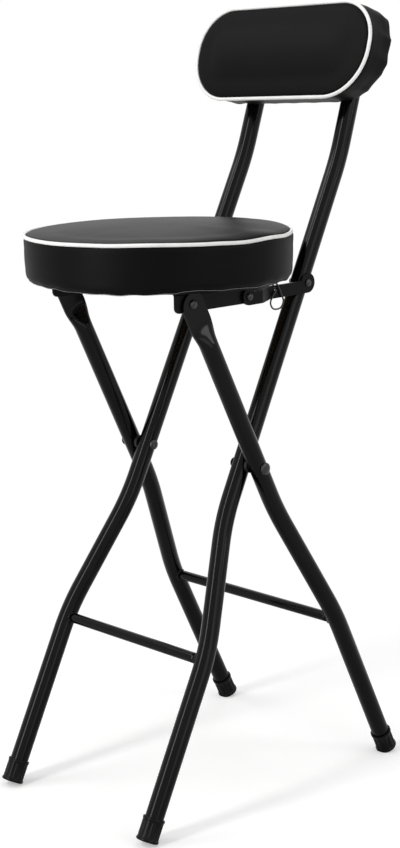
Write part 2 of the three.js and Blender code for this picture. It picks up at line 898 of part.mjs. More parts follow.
const ringHoleY = linkRear.y - ringHoleDistance;
const ringHoleZ = linkTopEdgeAt(ringHoleY) - ringHoleMargin;

// Height of the bar's upper edge at a place along it
function linkTopEdgeAt(y) {
  const [, , rearTop, frontTop] = linkBarShape().getPoints();
  return THREE.MathUtils.mapLinear(y, frontTop.x, rearTop.x, frontTop.y, rearTop.y);
}

function foldingLink(withRingHole) {
  const beyond = linkRearRadius + cutOverrun;
  const low = Math.min(linkFront.z, linkRear.z) - beyond;
  const high = Math.max(linkFront.z, linkRear.z) + beyond;
  const strip = new THREE.ExtrudeGeometry(linkStripShape(), {
    depth: high - low,
    bevelEnabled: false,
  });
  strip.translate(0, 0, low);
  const from = linkRearFace - linkThickness;
  const to = linkFrontFace + 2 * linkThickness;
  const sides = 2 * rivetSides;
  const outline = join(
    prismAlongX(linkBarShape(), from, to),
    cylinderAlongX(linkFrontRadius, from, to, linkFront.y, linkFront.z, sides),
    cylinderAlongX(linkRearRadius, from, to, linkRear.y, linkRear.z, sides),
  );
  const bore = linkRivetRadius + pinClearance;
  const start = from - cutOverrun;
  const end = to + cutOverrun;
  const holes = [
    cylinderAlongX(bore, start, end, linkFront.y, linkFront.z, rivetSides),
    cylinderAlongX(bore, start, end, linkRear.y, linkRear.z, rivetSides),
  ];
  if (withRingHole) {
    holes.push(cylinderAlongX(ringHoleRadius, start, end, ringHoleY, ringHoleZ, rivetSides));
  }
  return cut(overlapOf(strip, outline), ...holes);
}

// Wire pull ring: a pear shape that hangs outside the link. One side goes over the link's
// upper edge, turns round the steel above the hole and comes back out through the hole.
const ringRowShares = [
  { width: -0.2, drop: 0.08 },
  { width: -0.6, drop: 0.3 },
  { width: -0.97, drop: 0.63 },
  { width: -0.66, drop: 0.92 },
  { width: 0, drop: 1 },
  { width: 0.66, drop: 0.92 },
  { width: 0.97, drop: 0.63 },
  { width: 0.66, drop: 0.27 },
  { width: 0.38, drop: 0 },
];
const ringTurnSteps = 6;
const ringTurnStartShare = 0.2;
const ringHoleExitShare = 0.6;

function pullRing() {
  const middleX = linkRearFace + linkThickness / 2;
  const steelZ = ringHoleZ + (ringHoleRadius + ringHoleMargin) / 2;
  const points = ringRowShares.map(({ width, drop }) => {
    const y = ringHoleY + ringHalfWidth * width;
    return new THREE.Vector3(middleX + ringTurnRadius, y, ringHoleZ - ringDrop * drop);
  });
  for (let k = 0; k <= ringTurnSteps; k += 1) {
    const angle = (1.5 * Math.PI * k) / ringTurnSteps;
    const side = ringTurnStartShare * Math.max(0, 1 - (2 * k) / ringTurnSteps);
    const x = middleX + ringTurnRadius * Math.cos(angle);
    const z = steelZ + ringTurnRadius * Math.sin(angle);
    points.push(new THREE.Vector3(x, ringHoleY + ringHalfWidth * side, z));
  }
  const exitX = middleX + ringTurnRadius * ringHoleExitShare;
  points.push(new THREE.Vector3(exitX, ringHoleY, steelZ - ringTurnRadius));
  const curve = new THREE.CatmullRomCurve3(points, true, "centripetal");
  return wireLoop(curve, ringWire / 2);
}

function wireLoop(curve, wireRadius) {
  const frames = curve.computeFrenetFrames(ringSteps, true);
  const rings = [];
  for (let i = 0; i < ringSteps; i += 1) {
    const centre = curve.getPointAt(i / ringSteps);
    const ring = [];
    for (let j = 0; j < ringSides; j += 1) {
      const angle = (2 * Math.PI * j) / ringSides;
      const point = centre.clone();
      point.addScaledVector(frames.normals[i], wireRadius * Math.cos(angle));
      point.addScaledVector(frames.binormals[i], wireRadius * Math.sin(angle));
      ring.push(point);
    }
    rings.push(ring);
  }
  return loft(rings, true);
}

// Upholstery

// Closed outline at an inset, as flat points that run counter-clockwise from +X
function roundOutline(radius, count) {
  return (inset) => {
    const points = [];
    for (let j = 0; j < count; j += 1) {
      const angle = (2 * Math.PI * j) / count;
      const reach = radius - inset;
      points.push(new THREE.Vector2(reach * Math.cos(angle), reach * Math.sin(angle)));
    }
    return points;
  };
}

// Wide outline with round corners, larger ones below
function padOutline(halfWidth, halfHeight, topRadius, bottomRadius) {
  const corners = [
    { sideX: 1, sideY: 1, radius: topRadius, turn: 0 },
    { sideX: -1, sideY: 1, radius: topRadius, turn: 1 },
    { sideX: -1, sideY: -1, radius: bottomRadius, turn: 2 },
    { sideX: 1, sideY: -1, radius: bottomRadius, turn: 3 },
  ];
  return (inset) => {
    const points = [];
    for (const { sideX, sideY, radius, turn } of corners) {
      const centreX = sideX * (halfWidth - radius);
      const centreY = sideY * (halfHeight - radius);
      const reach = radius - inset;
      for (let k = 0; k <= backrestCornerSteps; k += 1) {
        const angle = (Math.PI / 2) * (turn + k / backrestCornerSteps);
        const x = centreX + reach * Math.cos(angle);
        points.push(new THREE.Vector2(x, centreY + reach * Math.sin(angle)));
      }
    }
    return points;
  };
}

const crownShares = [
  { inset: 0.015, rise: 0.3 },
  { inset: 0.05, rise: 0.6 },
  { inset: 0.14, rise: 0.8 },
  { inset: 0.35, rise: 0.93 },
  { inset: 0.7, rise: 1 },
];
const wallShares = [
  { tuck: 0.6, rise: 0.12 },
  { tuck: 0.24, rise: 0.32 },
  { tuck: 0.04, rise: 0.6 },
  { tuck: 0, rise: 0.84 },
];
const grooveTurnShares = [1, 1.25, 1.5, 1.75, 2];

// Section of a cushion as insets from its widest line and heights above its base: the
// recess for its board, the hem turned under the board's rim, the wall drawn in towards the
// base, the groove for the piping and the crowned face
function cushionSection({ boardInset, boardThickness, wallTuck, rounding, face, crown, reach }) {
  const section = [];
  const add = (inset, height) => section.push({ inset, height });
  const recess = boardInset - seatedGap;
  const hemEnd = boardInset + hemWidth;
  add(hemEnd, boardThickness + seatedGap);
  add(recess, boardThickness + seatedGap);
  add(recess, coverThickness);
  add(hemEnd, coverThickness);
  add(hemEnd, 0);
  add(wallTuck + rounding, 0);
  const groove = pipingDiameter / 2 + pipingGap;
  const wallTop = face - groove;
  for (const { tuck, rise } of wallShares) add(wallTuck * tuck, wallTop * rise);
  for (const turn of grooveTurnShares) {
    const angle = (Math.PI / 2) * turn;
    add(-groove * Math.cos(angle), face - groove * Math.sin(angle));
  }
  for (const { inset, rise } of crownShares) {
    add(groove + (reach - groove) * inset, face + crown * rise);
  }
  return section;
}

function cushionSolid(outline, section) {
  const rings = section.map(({ inset, height }) => {
    return outline(inset).map((point) => new THREE.Vector3(point.x, point.y, height));
  });
  return loft(rings);
}

// Round bead along an outline
function pipingLoop(outline, height) {
  const points = outline(0);
  const radius = pipingDiameter / 2;
  const rings = points.map((point, i) => {
    const next = points[(i + 1) % points.length];
    const before = points[(i + points.length - 1) % points.length];
    const way = next.clone().sub(before).normalize();
    const ring = [];
    for (let j = 0; j < pipingSides; j += 1) {
      const angle = (2 * Math.PI * j) / pipingSides;
      const outwards = radius * Math.cos(angle);
      const x = point.x + way.y * outwards;
      const y = point.y - way.x * outwards;
      ring.push(new THREE.Vector3(x, y, height - radius * Math.sin(angle)));
    }
    return ring;
  });
  return loft(rings, true);
}

// Board whose lower rim is rebated for the hem, so that its underside is level with it
function boardSolid(outline, inset, thickness, holes) {
  const rebate = coverThickness + seatedGap;
  const rim = new THREE.Shape(outline(inset));
  const middle = new THREE.Shape(outline(inset + hemWidth + seatedGap));
  const plate = new THREE.ExtrudeGeometry(rim, { depth: thickness - rebate, bevelEnabled: false });
  plate.translate(0, 0, rebate);
  const lower = new THREE.ExtrudeGeometry(middle, { depth: thickness, bevelEnabled: false });
  return cut(join(plate, lower), ...holes);
}

// Pan-head screw that points up: head below, shank from height 0 upwards
function panScrew(length) {
  const profile = [
    new THREE.Vector2(0, -screwHeadHeight - seatedGap),
    new THREE.Vector2(screwHeadRadius * screwCrownShare, -screwHeadHeight - seatedGap),
    new THREE.Vector2(screwHeadRadius, -screwHeadHeight * screwRimShare - seatedGap),
    new THREE.Vector2(screwHeadRadius, -seatedGap),
    new THREE.Vector2(screwRadius, -seatedGap),
    new THREE.Vector2(screwRadius, length - screwRadius),
    new THREE.Vector2(0, length),
  ];
  const screw = new THREE.LatheGeometry(profile, screwSides);
  screw.rotateX(Math.PI / 2);
  return screw;
}

// Groups

function backFrame() {
  const group = new THREE.Group();
  addPair(group, "upright_tube", uprightTube(), steel);
  addPair(group, "front_foot", rubberFoot(uprightFootHalfSpread, lean), rubber);
  addPair(group, "upright_plug", uprightPlug(), plastic);
  addPair(group, "cross_rivet", crossRivet(), rivetSteel);
  addPair(group, "cross_spacer", crossSpacer(), plastic);
  addPair(group, "link_rear_stub", linkRearStub(), rivetSteel);
  const footrest = crossBar(uprightStations, uprightFootHalfSpread, footrestDrop);
  group.add(meshOf("front_footrest_bar", footrest, steel));
  group.add(backrest());
  group.position.z = crossPivotHeight;
  group.rotation.x = -lean;
  return group;
}

function backrest() {
  const group = new THREE.Group();
  const outline = padOutline(
    backrestHalfWidth,
    backrestHalfHeight,
    backrestTopRadius,
    backrestBottomRadius,
  );
  const baseOffset = tubeRadius + seatedGap;
  const face = backrestFaceOffset - baseOffset;
  const section = cushionSection({
    boardInset: backrestBoardInset,
    boardThickness: backrestBoardThickness,
    wallTuck: backrestWallTuck,
    rounding: backrestBaseRounding,
    face,
    crown: backrestCrown,
    reach: backrestTopRadius,
  });
  const pad = new THREE.Group();
  pad.add(meshOf("backrest_cushion", cushionSolid(outline, section), vinyl));
  pad.add(meshOf("backrest_piping", pipingLoop(outline, face), pipingVinyl));
  pad.position.set(0, -baseOffset, backrestRise);
  pad.rotation.x = Math.PI / 2;
  pad.rotateZ(radians(backrestSkewAngle));
  group.add(pad);
  const holes = [];
  const screwLength = tubeDiameter + 2 * seatedGap + screwBite;
  for (const [level, rise] of backrestScrewRises.entries()) {
    const x = uprightSpreadAt(uprightBendHeight + rise);
    for (const side of [1, -1]) {
      const screw = panScrew(screwLength);
      screw.rotateX(Math.PI / 2);
      screw.translate(side * x, tubeRadius + seatedGap, rise);
      const name = `backrest_screw_${side > 0 ? "right" : "left"}_${level + 1}`;
      group.add(meshOf(name, screw, zinc));
      const hole = screwRadius + pinClearance;
      const low = -cutOverrun;
      const high = backrestBoardThickness + cutOverrun;
      const drill = cylinderAlongZ(hole, low, high, side * x, rise - backrestRise, screwSides);
      drill.rotateZ(-radians(backrestSkewAngle));
      holes.push(drill);
    }
  }
  const plate = boardSolid(outline, backrestBoardInset, backrestBoardThickness, holes);
  pad.add(meshOf("backrest_board", plate, board));
  group.position.z = uprightBendHeight;
  group.rotation.x = radians(uprightStraightening);
  return group;
}

function frontFrame() {
  const group = new THREE.Group();
  addPair(group, "front_leg_tube", frontLegTube(), steel);
  addPair(group, "rear_foot", rubberFoot(legFootHalfSpread, -lean), rubber);
  const stretcher = crossBar(legStations, legFootHalfSpread, rearBarDrop);
  group.add(meshOf("rear_cross_bar", stretcher, steel));
  group.position.z = crossPivotHeight;
  group.rotation.x = lean;
  return group;
}

function seat() {
  const group = new THREE.Group();
  const outline = roundOutline(seatRadius, seatSides);
  const section = cushionSection({
    boardInset: seatBoardInset,
    boardThickness: seatBoardThickness,
    wallTuck: seatWallTuck,
    rounding: seatBaseRounding,
    face: seatWallHeight,
    crown: seatCrown,
    reach: seatRadius,
  });
  const pad = new THREE.Group();
  pad.add(meshOf("seat_cushion", cushionSolid(outline, section), vinyl));
  pad.add(meshOf("seat_piping", pipingLoop(outline, seatWallHeight), pipingVinyl));
  const holes = [];
  let number = 0;
  for (const side of [1, -1]) {
    for (const y of seatScrewYs) {
      number += 1;
      const screw = panScrew(railThickness + seatedGap + screwBite);
      screw.translate(side * seatScrewX, y, railTop - railThickness);
      group.add(meshOf(`seat_screw_${number}`, screw, zinc));
      const hole = screwRadius + pinClearance;
      const high = screwBite + cutOverrun;
      const x = side * seatScrewX;
      holes.push(cylinderAlongZ(hole, -cutOverrun, high, x, y - seatCentreY, screwSides));
    }
  }
  const plate = boardSolid(outline, seatBoardInset, seatBoardThickness, holes);
  pad.add(meshOf("seat_board", plate, board));
  pad.position.set(0, seatCentreY, seatBaseHeight);
  group.add(pad);
  addPair(group, "seat_rail", seatRail(), steel);
  addPair(group, "link_front_rivet", linkFrontRivet(), rivetSteel);
  return group;
}

function links() {
  const group = new THREE.Group();
  group.add(meshOf("link_right", foldingLink(true), steel));
  group.add(meshOf("link_left", mirrored(foldingLink(false)), steel));
  addPair(group, "link_rear_rivet", linkRearHead(), rivetSteel);
  group.add(meshOf("pull_ring", pullRing(), rivetSteel));
  return group;
}

const mechanism = new THREE.Group();
mechanism.add(backFrame());
mechanism.add(frontFrame());
mechanism.add(seat());
mechanism.add(links());
addPair(mechanism, "leg_top_rivet", legTopRivet(), rivetSteel);

// The middle of the stool's length comes to Y = 0
mechanism.updateMatrixWorld(true);
const reach = new THREE.Box3().setFromObject(mechanism, true);
mechanism.position.y = -(reach.min.y + reach.max.y) / 2;

const stool = new THREE.Group();
stool.add(mechanism);

export default stool;
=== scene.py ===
import json
import math
from collections import namedtuple

import bpy
from mathutils import Matrix, Vector, noise
from mathutils.bvhtree import BVHTree


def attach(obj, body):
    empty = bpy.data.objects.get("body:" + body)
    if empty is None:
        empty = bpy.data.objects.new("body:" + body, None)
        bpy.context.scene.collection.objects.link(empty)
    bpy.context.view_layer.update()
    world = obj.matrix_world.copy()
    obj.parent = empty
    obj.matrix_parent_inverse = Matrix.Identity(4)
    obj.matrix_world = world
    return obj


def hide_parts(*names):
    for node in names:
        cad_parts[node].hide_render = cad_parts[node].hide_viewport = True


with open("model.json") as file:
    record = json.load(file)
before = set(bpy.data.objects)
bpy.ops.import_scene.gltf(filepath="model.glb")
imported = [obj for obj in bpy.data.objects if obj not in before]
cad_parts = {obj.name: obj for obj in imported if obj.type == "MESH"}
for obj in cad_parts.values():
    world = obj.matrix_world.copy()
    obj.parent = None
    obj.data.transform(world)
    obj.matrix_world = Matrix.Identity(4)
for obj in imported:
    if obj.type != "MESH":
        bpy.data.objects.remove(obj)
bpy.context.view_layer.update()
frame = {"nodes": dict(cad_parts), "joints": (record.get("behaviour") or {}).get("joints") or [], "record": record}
nodes = frame["nodes"]
joints = {j["name"]: j for j in frame["joints"]}
pivot = Vector(joints["fold"]["pos_m"])

MM = 0.001

# Sizes of the frame, as in the CAD. Lengths along a tube are counted from the cross pivot,
# and each corner is (distance from the stool's middle, length).
CROSS_HEIGHT = 406.3
LEG_LEAN = 26.75
TUBE_R = 11.1
TUBE_SIDES = 40
TUBE_END = -445.7
BAR_R = 6.35
SPLAY_R = 240.0
UPPER_R = 300.0

UPRIGHT_FOOT_X = 122.3
UPRIGHT_KNEE = (82.7, -70.0)
UPRIGHT_BEND = (78.86, 393.5)
UPRIGHT_TOP_X = 77.4
UPRIGHT_TOP_LENGTH = 154.0
UPRIGHT_CORNERS = [(UPRIGHT_FOOT_X, TUBE_END), (UPRIGHT_FOOT_X, -224.0), UPRIGHT_KNEE, UPRIGHT_BEND]
BACK_TURN = 8.75
FOOTREST_DROP = 235.4

LEG_FOOT_X = 143.3
LEG_KNEE = (109.9, -63.5)
LEG_TOP_X = 107.2
LEG_TOP = 243.0
LEG_PIVOT = 230.0
CRIMP_START = 170.0
CRIMP_END = 206.0
CRIMP_HALF_THICK = 1.4
CRIMP_HALF_WIDE = 16.64
LEG_CORNERS = [(LEG_FOOT_X, TUBE_END), (LEG_FOOT_X, -221.5), LEG_KNEE, (107.84, CRIMP_START)]
STRETCHER_DROP = 230.5

RAIL_THICK = 2.5
LINK_THICK = 3.0
LINK_HEIGHT = 15.3
LINK_FRONT_R = 10.0
LINK_REAR_R = 12.0
LINK_REAR_PIVOT = 232.0
LINK_FRONT_AT = (-12.5, 610.5)
PLATE_GAP = 0.4
SEATED_GAP = 0.3

SEAT_R = 157.3
SEAT_BASE = 627.5
SEAT_SHIFT = -51.94
SEAT_FACE = 54.4
PIPING_R = 2.2


# Helpers


def clamp(value):
    return min(1.0, max(0.0, value))


def smooth(low, high, value):
    """0 below low, 1 above high, eased between them."""
    share = clamp((value - low) / (high - low))
    return share * share * (3 - 2 * share)


def table_value(table, degrees):
    """Value at an angle from (angle, value) rows that go once round, eased between them."""
    rows = table + [(table[0][0] + 360, table[0][1])]
    degrees = (degrees - rows[0][0]) % 360 + rows[0][0]
    for (start, low), (end, high) in zip(rows, rows[1:]):
        if start <= degrees <= end:
            share = 0.5 - 0.5 * math.cos(math.pi * (degrees - start) / (end - start))
            return low + (high - low) * share
    return rows[0][1]


def around(count):
    """Cosine and sine of evenly spaced angles, once round."""
    turns = [2 * math.pi * j / count for j in range(count)]
    return [(math.cos(a), math.sin(a)) for a in turns]


def new_object(name, data):
    made = bpy.data.objects.new(name, data)
    bpy.context.scene.collection.objects.link(made)
    return made


# Frames of reference


def turn_x(degrees):
    return Matrix.Rotation(math.radians(degrees), 4, "X")


def shift(x, y, z):
    return Matrix.Translation(Vector((x, y, z)) * MM)


BACK = Matrix.Translation(pivot) @ turn_x(-LEG_LEAN)
FRONT = Matrix.Translation(pivot) @ turn_x(LEG_LEAN)
UPPER = BACK @ shift(0, 0, UPRIGHT_BEND[1]) @ turn_x(BACK_TURN)
STOOL = Matrix.Translation((0, pivot.y, 0))


# Materials


def new_material(name):
    material = bpy.data.materials.new(name)
    material.use_nodes = True
    tree = material.node_tree
    return material, tree, tree.nodes["Principled BSDF"]


def add(tree, kind, **values):
    """A shader node with values for its inputs and settings, or sockets to join to an input."""
    made = tree.nodes.new(kind)
    for key, value in values.items():
        if isinstance(value, bpy.types.NodeSocket):
            tree.links.new(value, made.inputs[key])
        elif key in made.inputs:
            made.inputs[key].default_value = value
        else:
            setattr(made, key, value)
    return made


def object_space(tree):
    return tree.nodes.new("ShaderNodeTexCoord").outputs["Object"]


def speckle(tree, scale, detail):
    made = add(tree, "ShaderNodeTexNoise", Scale=scale, Detail=detail, Vector=object_space(tree))
    return made.outputs["Fac"]


def ramp(tree, source, low, high, start=0.3, end=0.7):
    made = add(tree, "ShaderNodeValToRGB", Fac=source)
    made.color_ramp.elements[0].position = start
    made.color_ramp.elements[0].color = (*low, 1)
    made.color_ramp.elements[1].position = end
    made.color_ramp.elements[1].color = (*high, 1)
    return made.outputs["Color"]


def spread(tree, source, low, high):
    made = add(tree, "ShaderNodeMapRange", Value=source)
    made.inputs["To Min"].default_value = low
    made.inputs["To Max"].default_value = high
    return made.outputs["Result"]


def bump(tree, shader, source, strength, distance, under=None):
    made = add(tree, "ShaderNodeBump", Strength=strength, Distance=distance, Height=source)
    if under is not None:
        tree.links.new(under, made.inputs["Normal"])
    tree.links.new(made.outputs["Normal"], shader.inputs["Normal"])
    return made.outputs["Normal"]


def grey(value, tint=1.04):
    return (value, value, value * tint)


def surface(name, scale, detail, low, high, rough, specular=0.5, metallic=0.0, start=0.3):
    """A material whose colour and roughness vary with a noise of a scale and detail."""
    material, tree, shader = new_material(name)
    cloud = speckle(tree, scale, detail)
    tree.links.new(ramp(tree, cloud, low, high, start), shader.inputs["Base Color"])
    tree.links.new(spread(tree, cloud, *rough), shader.inputs["Roughness"])
    shader.inputs["Specular IOR Level"].default_value = specular
    shader.inputs["Metallic"].default_value = metallic
    return material, tree, shader


def grained(made, scale, detail, strength, distance):
    """The same material with fine specks that stand up a little."""
    material, tree, shader = made
    bump(tree, shader, speckle(tree, scale, detail), strength, distance)
    return material


def powder_coat(name, dark=0.0008, light=0.002, rough=(0.1, 0.15), specular=0.13):
    made = surface(name, 18.0, 3.0, grey(dark), grey(light), rough, specular)
    return grained(made, 700.0, 2.0, 0.06, 0.0001)


def rubber():
    dark, light = grey(0.0015), grey(0.004)
    made = surface("foot_rubber", 60.0, 4.0, dark, light, (0.24, 0.34), 0.11, start=0.35)
    return grained(made, 700.0, 3.0, 0.2, 0.00015)


def leatherette(name="black_leatherette", dark=0.0009, light=0.0018, rough=(0.44, 0.52)):
    material, tree, shader = surface(name, 9.0, 3.0, grey(dark), grey(light), rough, 0.06)
    place = object_space(tree)
    cells = add(tree, "ShaderNodeTexVoronoi", Scale=620.0, feature="DISTANCE_TO_EDGE", Vector=place)
    creases = spread(tree, cells.outputs["Distance"], 0.0, 1.0)
    grain = bump(tree, shader, creases, 0.3, 0.00018)
    bump(tree, shader, speckle(tree, 1500.0, 2.0), 0.2, 0.0001, grain)
    return material


def white_vinyl():
    dark, light = (0.76, 0.76, 0.75), (0.85, 0.85, 0.84)
    made = surface("white_piping", 40.0, 3.0, dark, light, (0.35, 0.5))
    return grained(made, 500.0, 2.0, 0.25, 0.0002)


def plywood():
    material, tree, shader = new_material("plywood")
    stretch = add(tree, "ShaderNodeMapping", Scale=(6.0, 90.0, 90.0), Vector=object_space(tree))
    grain = add(tree, "ShaderNodeTexNoise", Scale=1.0, Detail=6.0, Vector=stretch.outputs["Vector"])
    colour = ramp(tree, grain.outputs["Fac"], (0.3, 0.18, 0.09), (0.62, 0.44, 0.26))
    tree.links.new(colour, shader.inputs["Base Color"])
    shader.inputs["Roughness"].default_value = 0.75
    bump(tree, shader, grain.outputs["Fac"], 0.3, 0.0003)
    return material


def zinc():
    dark, light = (0.45, 0.46, 0.46), (0.66, 0.67, 0.66)
    return surface("zinc_screw", 150.0, 3.0, dark, light, (0.3, 0.45), metallic=0.9)[0]


MATERIAL_OF = {
    "coated_tube": powder_coat("black_powder_coat"),
    "coated_plate": powder_coat("black_plate_coat", 0.0015, 0.003, (0.3, 0.4), 0.08),
    "rivet_steel": powder_coat("black_rivet", 0.005, 0.01, (0.24, 0.34), 0.4),
    "foot_rubber": rubber(),
    "black_plastic": powder_coat("black_plastic", 0.005, 0.01, (0.45, 0.55), 0.25),
    "plywood": plywood(),
    "vinyl_cover": leatherette(),
    "white_piping": white_vinyl(),
    "zinc_screw": zinc(),
}
# Pale vinyl for the strip along the seat's hem fold: a painted highlight on the cover's bend, not its own colour
HEM_HIGHLIGHT = leatherette("painted_hem_highlight", 0.14, 0.26, (0.7, 0.8))

for part in frame["record"]["subparts"]:
    node = nodes[part["node"]]
    node.data.materials.clear()
    node.data.materials.append(MATERIAL_OF[part["material_slot"]])


# Meshes


def piece(name, verts, faces, body, slot, place, replaces=(), rounded=True, material=None):
    mesh = bpy.data.meshes.new(name)
    points = [place @ (Vector(v) * MM) for v in verts]
    mesh.from_pydata([tuple(p) for p in points], [], faces)
    mesh.update()
    mesh.materials.append(material or MATERIAL_OF[slot])
    made = new_object(name, mesh)
    if rounded:
        mesh.shade_smooth()
    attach(made, body)
    if replaces:
        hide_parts(*replaces)
    return made


def loft(rings, looped=False):
    """Vertices and faces of a skin through rings that run counter-clockwise about the way."""
    count = len(rings[0])
    verts = [p for ring in rings for p in ring]
    faces = []
    for i in range(len(rings) if looped else len(rings) - 1):
        here = i * count
        there = ((i + 1) % len(rings)) * count
        for j in range(count):
            k = (j + 1) % count
            faces.append((here + j, here + k, there + k, there + j))
    if not looped:
        last = (len(rings) - 1) * count
        faces.append(tuple(reversed(range(count))))
        faces.append(tuple(range(last, last + count)))
    return verts, faces


def mirror(verts, faces):
    return [(-x, y, z) for x, y, z in verts], [tuple(reversed(f)) for f in faces]


def pair(name, skin, body, slot, place, node, sharp=35.0):
    """The right-hand piece and its mirror image, with edges sharp above an angle."""
    for side, (verts, faces) in (("right", skin), ("left", mirror(*skin))):
        where = body if isinstance(body, str) else body[side]
        swap = [f"{node}_{side}"]
        made = piece(f"{name}_{side}", verts, faces, where, slot, place, swap)
        made.data.set_sharp_from_angle(angle=math.radians(sharp))


# Bent tube


def stations(corners, radii, steps=14):
    """Points and directions along a route whose corners are rounded."""
    corners = [Vector(c) for c in corners]
    way = (corners[1] - corners[0]).normalized()
    found = [(corners[0], way)]
    for i in range(1, len(corners) - 1):
        radius = radii[i - 1]
        before = (corners[i] - corners[i - 1]).normalized()
        after = (corners[i + 1] - corners[i]).normalized()
        turn = before.angle(after)
        inward = (after - before * after.dot(before)).normalized()
        start = corners[i] - before * (radius * math.tan(turn / 2))
        for k in range(steps + 1):
            a = turn * k / steps
            at = start + before * (radius * math.sin(a)) + inward * (radius * (1 - math.cos(a)))
            found.append((at, before * math.cos(a) + inward * math.sin(a)))
    found.append((corners[-1], (corners[-1] - corners[-2]).normalized()))
    return found


def upright_x(length):
    """Distance of the upright's middle line from the stool's middle, above its knee."""
    knee_x, knee = UPRIGHT_KNEE
    top = UPRIGHT_BEND[1] + UPRIGHT_TOP_LENGTH
    return knee_x + (UPRIGHT_TOP_X - knee_x) * (length - knee) / (top - knee)


def leg_x(length):
    """Distance of the front leg's middle line from the stool's middle, above its knee."""
    knee_x, knee = LEG_KNEE
    return knee_x + (LEG_TOP_X - knee_x) * (length - knee) / (LEG_TOP - knee)


def slot_point(c, s):
    """Place on the pressed tube's flat outline of the point that was at cosine c, sine s."""
    stretch, corner, end_from = 1.08, 6, 0.9
    flat = min(1.0, max(-1.0, s * stretch))
    off = math.copysign(CRIMP_HALF_THICK, c) * min(1.0, abs(c) * corner)
    end = CRIMP_HALF_THICK * flat if abs(s) > end_from else 0
    return off, (CRIMP_HALF_WIDE - CRIMP_HALF_THICK) * flat + end


def tube_ring(station, pressed=0.0):
    """Section of the tube; pressed goes from 0, round, to 1, flat."""
    at, way = station
    side = (Vector((1, 0, 0)) - way * way.x).normalized()
    across = way.cross(side)
    ring = []
    for c, s in around(TUBE_SIDES):
        off, wide = TUBE_R * c, TUBE_R * s
        if pressed > 0:
            flat_off, flat_wide = slot_point(c, s)
            off += (flat_off - off) * pressed
            wide += (flat_wide - wide) * pressed
        ring.append(tuple(at + side * off + across * wide))
    return ring


def upright_route():
    turn = math.radians(BACK_TURN)
    corners = [(x, 0, z) for x, z in UPRIGHT_CORNERS]
    back = -UPRIGHT_TOP_LENGTH * math.sin(turn)
    corners.append((UPRIGHT_TOP_X, back, UPRIGHT_BEND[1] + UPRIGHT_TOP_LENGTH * math.cos(turn)))
    return stations(corners, [SPLAY_R, SPLAY_R, UPPER_R])


def front_leg():
    """Front leg tube, pressed flat towards its top and rounded off there."""
    crimp_steps, tip_steps, tip_reach, tip_least = 14, 12, 0.9995, 0.06
    route = stations([(x, 0, z) for x, z in LEG_CORNERS], [SPLAY_R, SPLAY_R])
    way = route[-1][1]
    rings = [tube_ring(s) for s in route]
    for k in range(1, crimp_steps + 1):
        share = k / crimp_steps
        length = CRIMP_START + (CRIMP_END - CRIMP_START) * share
        rings.append(tube_ring((Vector((leg_x(length), 0, length)), way), smooth(0, 1, share)))
    centre = LEG_TOP - CRIMP_HALF_WIDE
    for k in range(tip_steps + 1):
        a = math.pi / 2 * k / tip_steps
        length = centre + CRIMP_HALF_WIDE * math.sin(a) * tip_reach
        narrow = max(tip_least, math.cos(a))
        flat = tube_ring((Vector((leg_x(length), 0, length)), way), 1.0)
        rings.append([(x, y * narrow, z) for x, y, z in flat])
    return loft(rings)


def bar(centre_x, drop):
    """Cross bar between two tubes, its ends sunk a little into them."""
    steps, sides, sunk = 24, 32, 0.98
    reach = centre_x - math.sqrt(TUBE_R**2 - BAR_R**2) * sunk
    rings = []
    for k in range(steps + 1):
        x = -reach + 2 * reach * k / steps
        rings.append([(x, BAR_R * c, -drop + BAR_R * s) for c, s in around(sides)])
    return loft(rings)


def weld_bead(centre_x, drop, seed):
    """Rippled bead round a bar's end, where it meets the round of the tube."""
    steps, sides, bead, high, wide, clear = 64, 10, 1.5, 0.9, 1.15, 0.3
    ripples, ripple_size, uneven, waves = 11, 0.22, 0.12, 3
    rings = []
    for i, (y, z) in enumerate(around(steps)):
        off = centre_x - math.sqrt(TUBE_R**2 - (BAR_R * y) ** 2) - clear
        ripple = ripple_size * math.sin(ripples * 2 * math.pi * i / steps + seed)
        size = bead * (1 + ripple + uneven * noise.noise((waves * y, waves * z, seed)))
        ring = []
        for c, s in around(sides):
            r = BAR_R + size * high * c
            ring.append((off + size * wide * s, r * y, -drop + r * z))
        rings.append(ring)
    return loft(rings, looped=True)


def width_at(corners, drop):
    """Distance of a tube from the stool's middle at a cross bar."""
    route = stations([(x, 0, z) for x, z in corners], [SPLAY_R, SPLAY_R], 40)
    return min(route, key=lambda s: abs(s[0].z + drop))[0].x


UPRIGHT_ROUTE = upright_route()
upright_skin = loft([tube_ring(s) for s in UPRIGHT_ROUTE])
pair("bent_upright", upright_skin, "back_frame", "coated_tube", BACK, "upright_tube")
pair("front_leg_skin", front_leg(), "front_frame", "coated_tube", FRONT, "front_leg_tube", 50)

for name, node, corners, drop, body, place in (
    ("front_footrest", "front_footrest_bar", UPRIGHT_CORNERS, FOOTREST_DROP, "back_frame", BACK),
    ("rear_stretcher", "rear_cross_bar", LEG_CORNERS, STRETCHER_DROP, "front_frame", FRONT),
):
    centre_x = width_at(corners, drop)
    piece(name, *bar(centre_x, drop), body, "coated_tube", place, [node])
    right_bead = weld_bead(centre_x, drop, 1.0)
    left_bead = mirror(*weld_bead(centre_x, drop, 2.3))
    for side, bead in (("right", right_bead), ("left", left_bead)):
        piece(f"{name}_weld_{side}", *bead, body, "coated_tube", place)


# Turned pieces


def lathe(profile, sides=48):
    """Skin of a profile of (radius, height) turned round Z, from its low end to its high end."""
    rings = []
    for radius, height in profile:
        r = max(radius, 0.02)
        rings.append([(r * c, r * s, height) for c, s in around(sides)])
    return loft(rings)


def along_x(skin, x, y, z):
    """A turned skin laid along X, its zero height at the given place."""
    verts, faces = skin
    return [(x + h, y + b, z - a) for a, b, h in verts], faces


